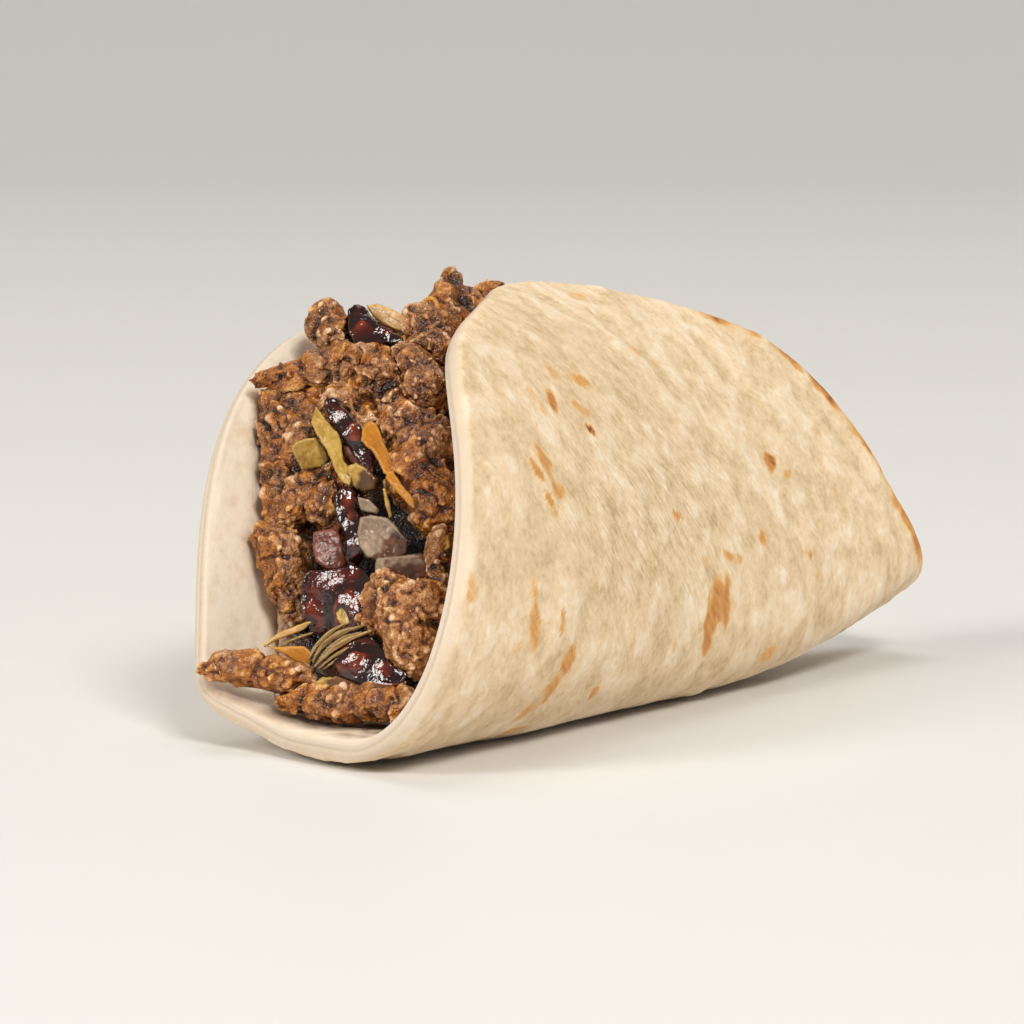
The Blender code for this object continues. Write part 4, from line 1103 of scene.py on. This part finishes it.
for number, (solid, path, widths) in enumerate(STRANDS):
    thick, outline = number < 2, shred(path, widths)
    name = solid.replace("pickle_", "sliced_pickle_") if thick else f"fine_strand_{number - 1}"
    size, stands_for, ragged = (STRAND_SIZE, None, 0.07) if thick else (FINE_STRAND_SIZE, "", 0.05)
    seed = 500 + 10 * number if thick else 510 + 10 * number
    cut_piece(solid, name, outline, size, strand_look, seed, stands_for, 1, ragged, 0.2)


# The onion is hand diced, half cooked and wet: greyish and translucent, with fine veins, and
# darkened where sauce covers it. Two of the dice are of red onion.
onion_look = wet_material(
    "cooked_onion",
    [(0.25, 0.11, 0.065, 0.040), (0.50, 0.25, 0.175, 0.120), (0.78, 0.51, 0.390, 0.295)],
    (0.42, 0.33, 0.23),
    roughness=0.12,
)
red_onion_look = wet_material(
    "red_onion",
    [(0.25, 0.07, 0.014, 0.007), (0.50, 0.135, 0.034, 0.021), (0.78, 0.265, 0.100, 0.075)],
    (0.22, 0.045, 0.040),
)
ONION_CUTS = (
    ("onion_large", (2.6, 0.4), 0.42, [
        (-23.0, -0.8), (-21.4, -0.4), (-18.8, -0.9), (-17.2, -2.4), (-15.6, -4.3), (-15.9, -6.3),
        (-17.8, -7.6), (-20.4, -7.6), (-22.0, -6.9), (-23.3, -5.3), (-23.5, -3.0),
    ]),
    ("onion_lower", (2.2, 0.6), 0.62, [
        (-20.6, -7.0), (-17.0, -6.6), (-13.6, -6.2), (-12.4, -8.0), (-12.5, -10.6), (-13.6, -12.2),
        (-15.6, -11.8), (-18.6, -10.4), (-20.8, -9.0),
    ]),
    ("onion_shard", (1.0, 0.3), 0.20, [
        (-23.5, 2.4), (-21.7, 1.9), (-19.9, 0.2), (-20.5, -0.4), (-23.0, 0.3),
    ]),
)
for number, (solid, size, smear, outline) in enumerate(ONION_CUTS):
    name = solid.replace("onion_", "diced_onion_")
    cut_piece(solid, name, outline, size, onion_look, 600 + 10 * number, smear=smear)
RED_ONION_CUTS = (
    ("onion_purple", (2.6, 0.45), 0.28, [
        (-30.2, -3.0), (-27.4, -2.4), (-26.3, -2.8), (-25.6, -5.0), (-25.0, -7.6), (-25.4, -8.8),
        (-28.0, -8.9), (-29.8, -7.6), (-30.3, -5.0),
    ]),
    ("onion_small", (1.6, 0.5), 0.30, [
        (-25.7, 10.0), (-24.0, 10.3), (-22.5, 9.2), (-21.5, 7.2), (-22.4, 6.3), (-24.0, 7.0), (-25.2, 8.6),
    ]),
)
for number, (solid, size, smear, outline) in enumerate(RED_ONION_CUTS):
    name = solid.replace("onion_", "diced_onion_")
    cut_piece(solid, name, outline, size, red_onion_look, 640 + 10 * number, smear=smear)
flap_look = wet_material(
    "browned_onion",
    [(0.25, 0.26, 0.120, 0.035), (0.50, 0.46, 0.26, 0.10), (0.78, 0.66, 0.46, 0.25)],
    (0.72, 0.45, 0.07),
    (0.0040, 0.0005, 0.15),
)
BROWNED_CUTS = (
    ("onion_flap", "onion_flap", (1.0, 0.4), 0.15, [
        (-22.1, 31.3), (-20.4, 31.6), (-18.5, 30.9), (-16.9, 30.1), (-15.6, 29.5), (-15.9, 27.2),
        (-17.2, 27.4), (-19.1, 28.2), (-21.1, 29.5),
    ]),
    ("onion_strand", "onion_strand", STRAND_SIZE, 0.15, shred(
        [(-37.6, -20.4), (-35.6, -18.9), (-32.1, -17.6), (-30.2, -16.5)],
        [0.20, 0.50, 0.55, 0.20],
    )),
    ("onion_shard", "", STRAND_SIZE, 0.30, shred(
        [(-19.4, 3.6), (-18.9, 1.4), (-18.4, -0.9)],
        [0.25, 0.40, 0.25],
    )),
)
for number, (solid, stands_for, size, smear, outline) in enumerate(BROWNED_CUTS):
    name = f"diced_onion_browned_{number + 1}"
    cut_piece(solid, name, outline, size, flap_look, 670 + 10 * number, stands_for, 0, 0.09, smear)


# The cheese is orange cheddar in flat shreds that have begun to melt, paler at their edges.
cheese_look = wet_material(
    "melted_cheddar",
    [(0.25, 0.27, 0.080, 0.002), (0.50, 0.39, 0.140, 0.003), (0.78, 0.52, 0.21, 0.006)],
    (0.70, 0.38, 0.06),
    (0.0050, 0.0008, 0.10),
    0.28,
)
CHEESE_CUTS = (
    ("cheese_strip_upper", "cheese_strip_upper", (1.2, 0.5), 0.05, [
        (-22.8, 12.2), (-22.3, 13.3), (-21.4, 13.7), (-20.6, 13.4), (-20.1, 12.4), (-19.5, 10.7),
        (-18.5, 8.7), (-18.0, 6.9), (-18.7, 5.5), (-19.5, 5.8), (-20.3, 7.8), (-21.4, 9.4), (-22.9, 10.7),
    ]),
    ("cheese_strip_lower", "cheese_strip_lower", (1.2, 0.5), 0.08, [
        (-19.0, 6.1), (-18.0, 6.3), (-16.9, 4.5), (-15.3, 2.6), (-14.3, 0.6), (-14.9, 0.3),
        (-16.9, 2.3), (-18.3, 3.9), (-19.1, 5.0),
    ]),
    ("cheese_flap", "cheese_flap", (0.9, 0.35), 0.15, [
        (-37.6, -20.2), (-36.0, -20.4), (-31.4, -20.4), (-30.1, -21.5), (-30.6, -23.1), (-32.7, -22.8),
        (-34.4, -21.7),
    ]),
    ("cheese_curl", "cheese_curl", (0.7, 0.3), 0.0, shred(
        [(-13.5, 29.6), (-13.8, 31.0), (-13.0, 32.4), (-11.8, 32.5), (-11.2, 31.2), (-11.4, 30.0)],
        [0.25, 0.38, 0.38, 0.38, 0.32, 0.25],
    )),
    ("sauce_top", "", (0.9, 0.35), 0.10, [
        (-16.9, 26.6), (-16.2, 26.9), (-15.7, 25.4), (-16.1, 24.3), (-16.8, 25.2),
    ]),
)
for number, (solid, stands_for, size, smear, outline) in enumerate(CHEESE_CUTS):
    name = solid.replace("cheese_", "melted_cheese_") if stands_for else "melted_cheese_bit"
    cut_piece(solid, name, outline, size, cheese_look, 710 + 10 * number, stands_for, smear=smear)


# The sauce is a dark, sweet glaze poured over the beef: a film that bridges its hollows and climbs
# what stands in it, red where it is thin and nearly black where it is deep, with a wet gloss.
FILM_REACH = 0.0014
FILM_SUNK = 0.0006
FILM_DEEP = 0.0012
FILM_HEIGHT = (0.00032, 0.00014, 0.00012)
FILM_ROUND_OVER = 0.6
SAUCE_OUTLINES = {
    "sauce_main": [
        (-31.4, -8.9), (-28.9, -8.9), (-25.6, -8.5), (-24.0, -7.6), (-21.4, -9.5), (-21.1, -12.1),
        (-22.0, -16.3), (-23.3, -18.0), (-26.9, -17.9), (-30.1, -18.9), (-31.6, -16.3), (-32.3, -12.8),
    ],
    "sauce_pool": [
        (-30.4, -22.8), (-27.2, -20.5), (-24.0, -18.9), (-21.4, -18.3), (-20.0, -19.8), (-18.3, -23.1),
        (-15.6, -24.0), (-16.6, -26.6), (-22.0, -26.6), (-25.2, -25.4), (-29.6, -25.0),
    ],
    "sauce_run": [
        (-26.7, 3.4), (-24.6, 4.0), (-22.6, 3.6), (-22.4, 1.2), (-23.2, -1.2), (-22.6, -4.0), (-22.4, -7.2),
        (-23.9, -9.0), (-25.4, -8.8), (-25.2, -3.4), (-26.4, -1.8), (-27.0, 0.6),
    ],
    "sauce_streak": [
        (-28.6, 17.6), (-26.6, 17.4), (-25.2, 15.6), (-23.2, 13.4), (-22.0, 11.0), (-20.6, 7.4),
        (-21.0, 5.2), (-22.4, 6.0), (-24.4, 9.0), (-26.4, 12.2), (-28.2, 14.6),
    ],
    "sauce_top": [
        (-25.1, 30.5), (-23.6, 31.6), (-21.9, 31.0), (-20.9, 29.0), (-19.1, 27.9), (-16.4, 26.6),
        (-16.9, 25.3), (-20.0, 25.4), (-21.0, 24.4), (-21.4, 22.6), (-22.6, 22.2), (-23.4, 24.6),
        (-24.8, 27.4),
    ],
}
STANDS_IN_SAUCE = ("diced_onion_purple", "diced_onion_large")


def spread_out(values, one, other, rounds):
    """Values of a grid's spots, each evened out with its neighbours' so many times."""
    ends, far_ends = np.concatenate([one, other]), np.concatenate([other, one])
    degree = np.bincount(ends, minlength=len(values))
    for _ in range(rounds):
        values = 0.3 * values + 0.7 * np.bincount(ends, values[far_ends], len(values)) / degree
    return values


sauce_look, tree, shader = new_material("dark_glaze")
place = node(tree, "ShaderNodeTexCoord").outputs["Object"]
thin = weighed(tree, (noise(tree, place, 600.0, 3.0), 0.8), (stored(tree, "thin"), 1.0), plus=-0.4)
glaze = shades(tree, thin, [
    (0.30, 0.013, 0.0016, 0.0006),
    (0.65, 0.060, 0.0055, 0.0014),
    (1.00, 0.180, 0.0230, 0.0040),
])
tree.links.new(glaze, shader.inputs["Base Color"])
shader.inputs["Roughness"].default_value = 0.04
shader.inputs["IOR"].default_value = 1.60
bumped(tree, shader, noise(tree, place, 1200.0, 2.0), 0.60, 0.0003)

under_shells = [shell_of(made) for made in seared_pieces]
under_shells += [shell_of(bpy.data.objects[name]) for name in STANDS_IN_SAUCE]
for number, (solid, outline) in enumerate(SAUCE_OUTLINES.items()):
    outline = ragged_outline(rounded(outline, 1), 300 + number, 0.25)
    spots, flat_spots, cells, _, swell, edge, front = outlined_grid(solid, outline, FILM_ROUND_OVER)
    base = distances(tree_of([*under_shells, triangles_of(solid)]), spots)
    base = np.clip(np.where(np.isnan(base), front, base), front - FILM_REACH, front + FILM_REACH)
    lowest = base.copy()
    one, other = cells.ravel(), np.roll(cells, -1, axis=1).ravel()
    for _ in range(3):
        np.minimum.at(lowest, one, lowest[other])
        np.minimum.at(lowest, other, lowest[one])
    film = spread_out(lowest, one, other, 140)
    waves = cloud(flat_spots, 2.4, 310 + number, 2) + 0.25 * cloud(flat_spots, 0.7, 330 + number, 2)
    height = (FILM_HEIGHT[0] + FILM_HEIGHT[1] * waves) * swell - FILM_HEIGHT[2]
    name = solid.replace("sauce_", "glaze_")
    made, used = plate_object(name, spots, cells, edge, film - height, base + FILM_SUNK)
    depth = np.clip((base - film + height) / FILM_DEEP, 0, 1)
    spread(made.data, "thin", np.concatenate([1 - depth, 1 - depth])[used])
    made.data.materials.append(sauce_look)
    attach(made, "root")
    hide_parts(solid)


# A pale floor that rises into a round backdrop well away from the taco.
FLOOR_FLAT_RADIUS = 1.6
FLOOR_RADIUS = 4.0
BACKDROP_HEIGHT = 2.2
BACKDROP_STEPS = 16
bm = bmesh.new()
bmesh.ops.create_circle(bm, cap_ends=True, segments=96, radius=FLOOR_FLAT_RADIUS)
rims = [edge for edge in bm.edges if edge.is_boundary]
for step in range(BACKDROP_STEPS):
    t = (step + 1) / BACKDROP_STEPS
    grown = bmesh.ops.extrude_edge_only(bm, edges=rims)["geom"]
    radius = FLOOR_FLAT_RADIUS + (FLOOR_RADIUS - FLOOR_FLAT_RADIUS) * math.sin(t * math.pi / 2)
    for vert in (item for item in grown if isinstance(item, bmesh.types.BMVert)):
        direction = Vector((vert.co.x, vert.co.y, 0)).normalized()
        vert.co = direction * radius + Vector((0, 0, BACKDROP_HEIGHT * (1 - math.cos(t * math.pi / 2))))
    rims = [item for item in grown if isinstance(item, bmesh.types.BMEdge)]
bmesh.ops.recalc_face_normals(bm, faces=bm.faces)
mesh = bpy.data.meshes.new("studio_floor")
bm.to_mesh(mesh)
bm.free()
mesh.shade_smooth()
studio_floor = in_scene("studio_floor", mesh)
floor_look, tree, shader = new_material("pale_studio_floor")
shader.inputs["Base Color"].default_value = (0.74, 0.74, 0.735, 1.0)
shader.inputs["Roughness"].default_value = 0.55
mesh.materials.append(floor_look)


# Soft boxes: the key above the camera's right shoulder, a fill at its left, and one above behind.
def soft_box(name, turn, tilt, distance, size, power, colour=(1.0, 0.965, 0.905)):
    light = bpy.data.lights.new(name, "AREA")
    light.shape = "RECTANGLE"
    light.size, light.size_y = size
    light.energy = power
    light.color = colour
    made, away = in_scene(name, light), towards(turn, tilt)
    made.location = Vector((0, 0, 0.03)) + away * distance
    made.rotation_euler = away.to_track_quat("Z", "Y").to_euler()


soft_box("key_light", -38, 40, 2.6, (0.7, 0.7), 44)
soft_box("fill_light", -112, 29, 2.6, (0.9, 0.9), 38)
soft_box("top_light", 120, 65, 2.8, (1.4, 1.4), 20)
world = bpy.data.worlds.new("studio_air")
bpy.context.scene.world = world
world.use_nodes = True
world.node_tree.nodes["Background"].inputs["Color"].default_value = (1.0, 0.965, 0.90, 1.0)
world.node_tree.nodes["Background"].inputs["Strength"].default_value = 0.32

# The camera stands in front of the mouth, nearly at the table's height, with a long lens.
SENSOR, LENS = 36.0, 200.08
camera = in_scene("camera", bpy.data.cameras.new("camera"))
camera.location = EYE
camera.rotation_euler = towards(EYE_TURN, EYE_TILT).to_track_quat("Z", "Y").to_euler()
camera.data.sensor_width = SENSOR
camera.data.lens = LENS
camera.data.clip_start = 0.05
camera.data.clip_end = 20.0
bpy.context.scene.camera = camera
bpy.context.scene.view_settings.view_transform = "Standard"
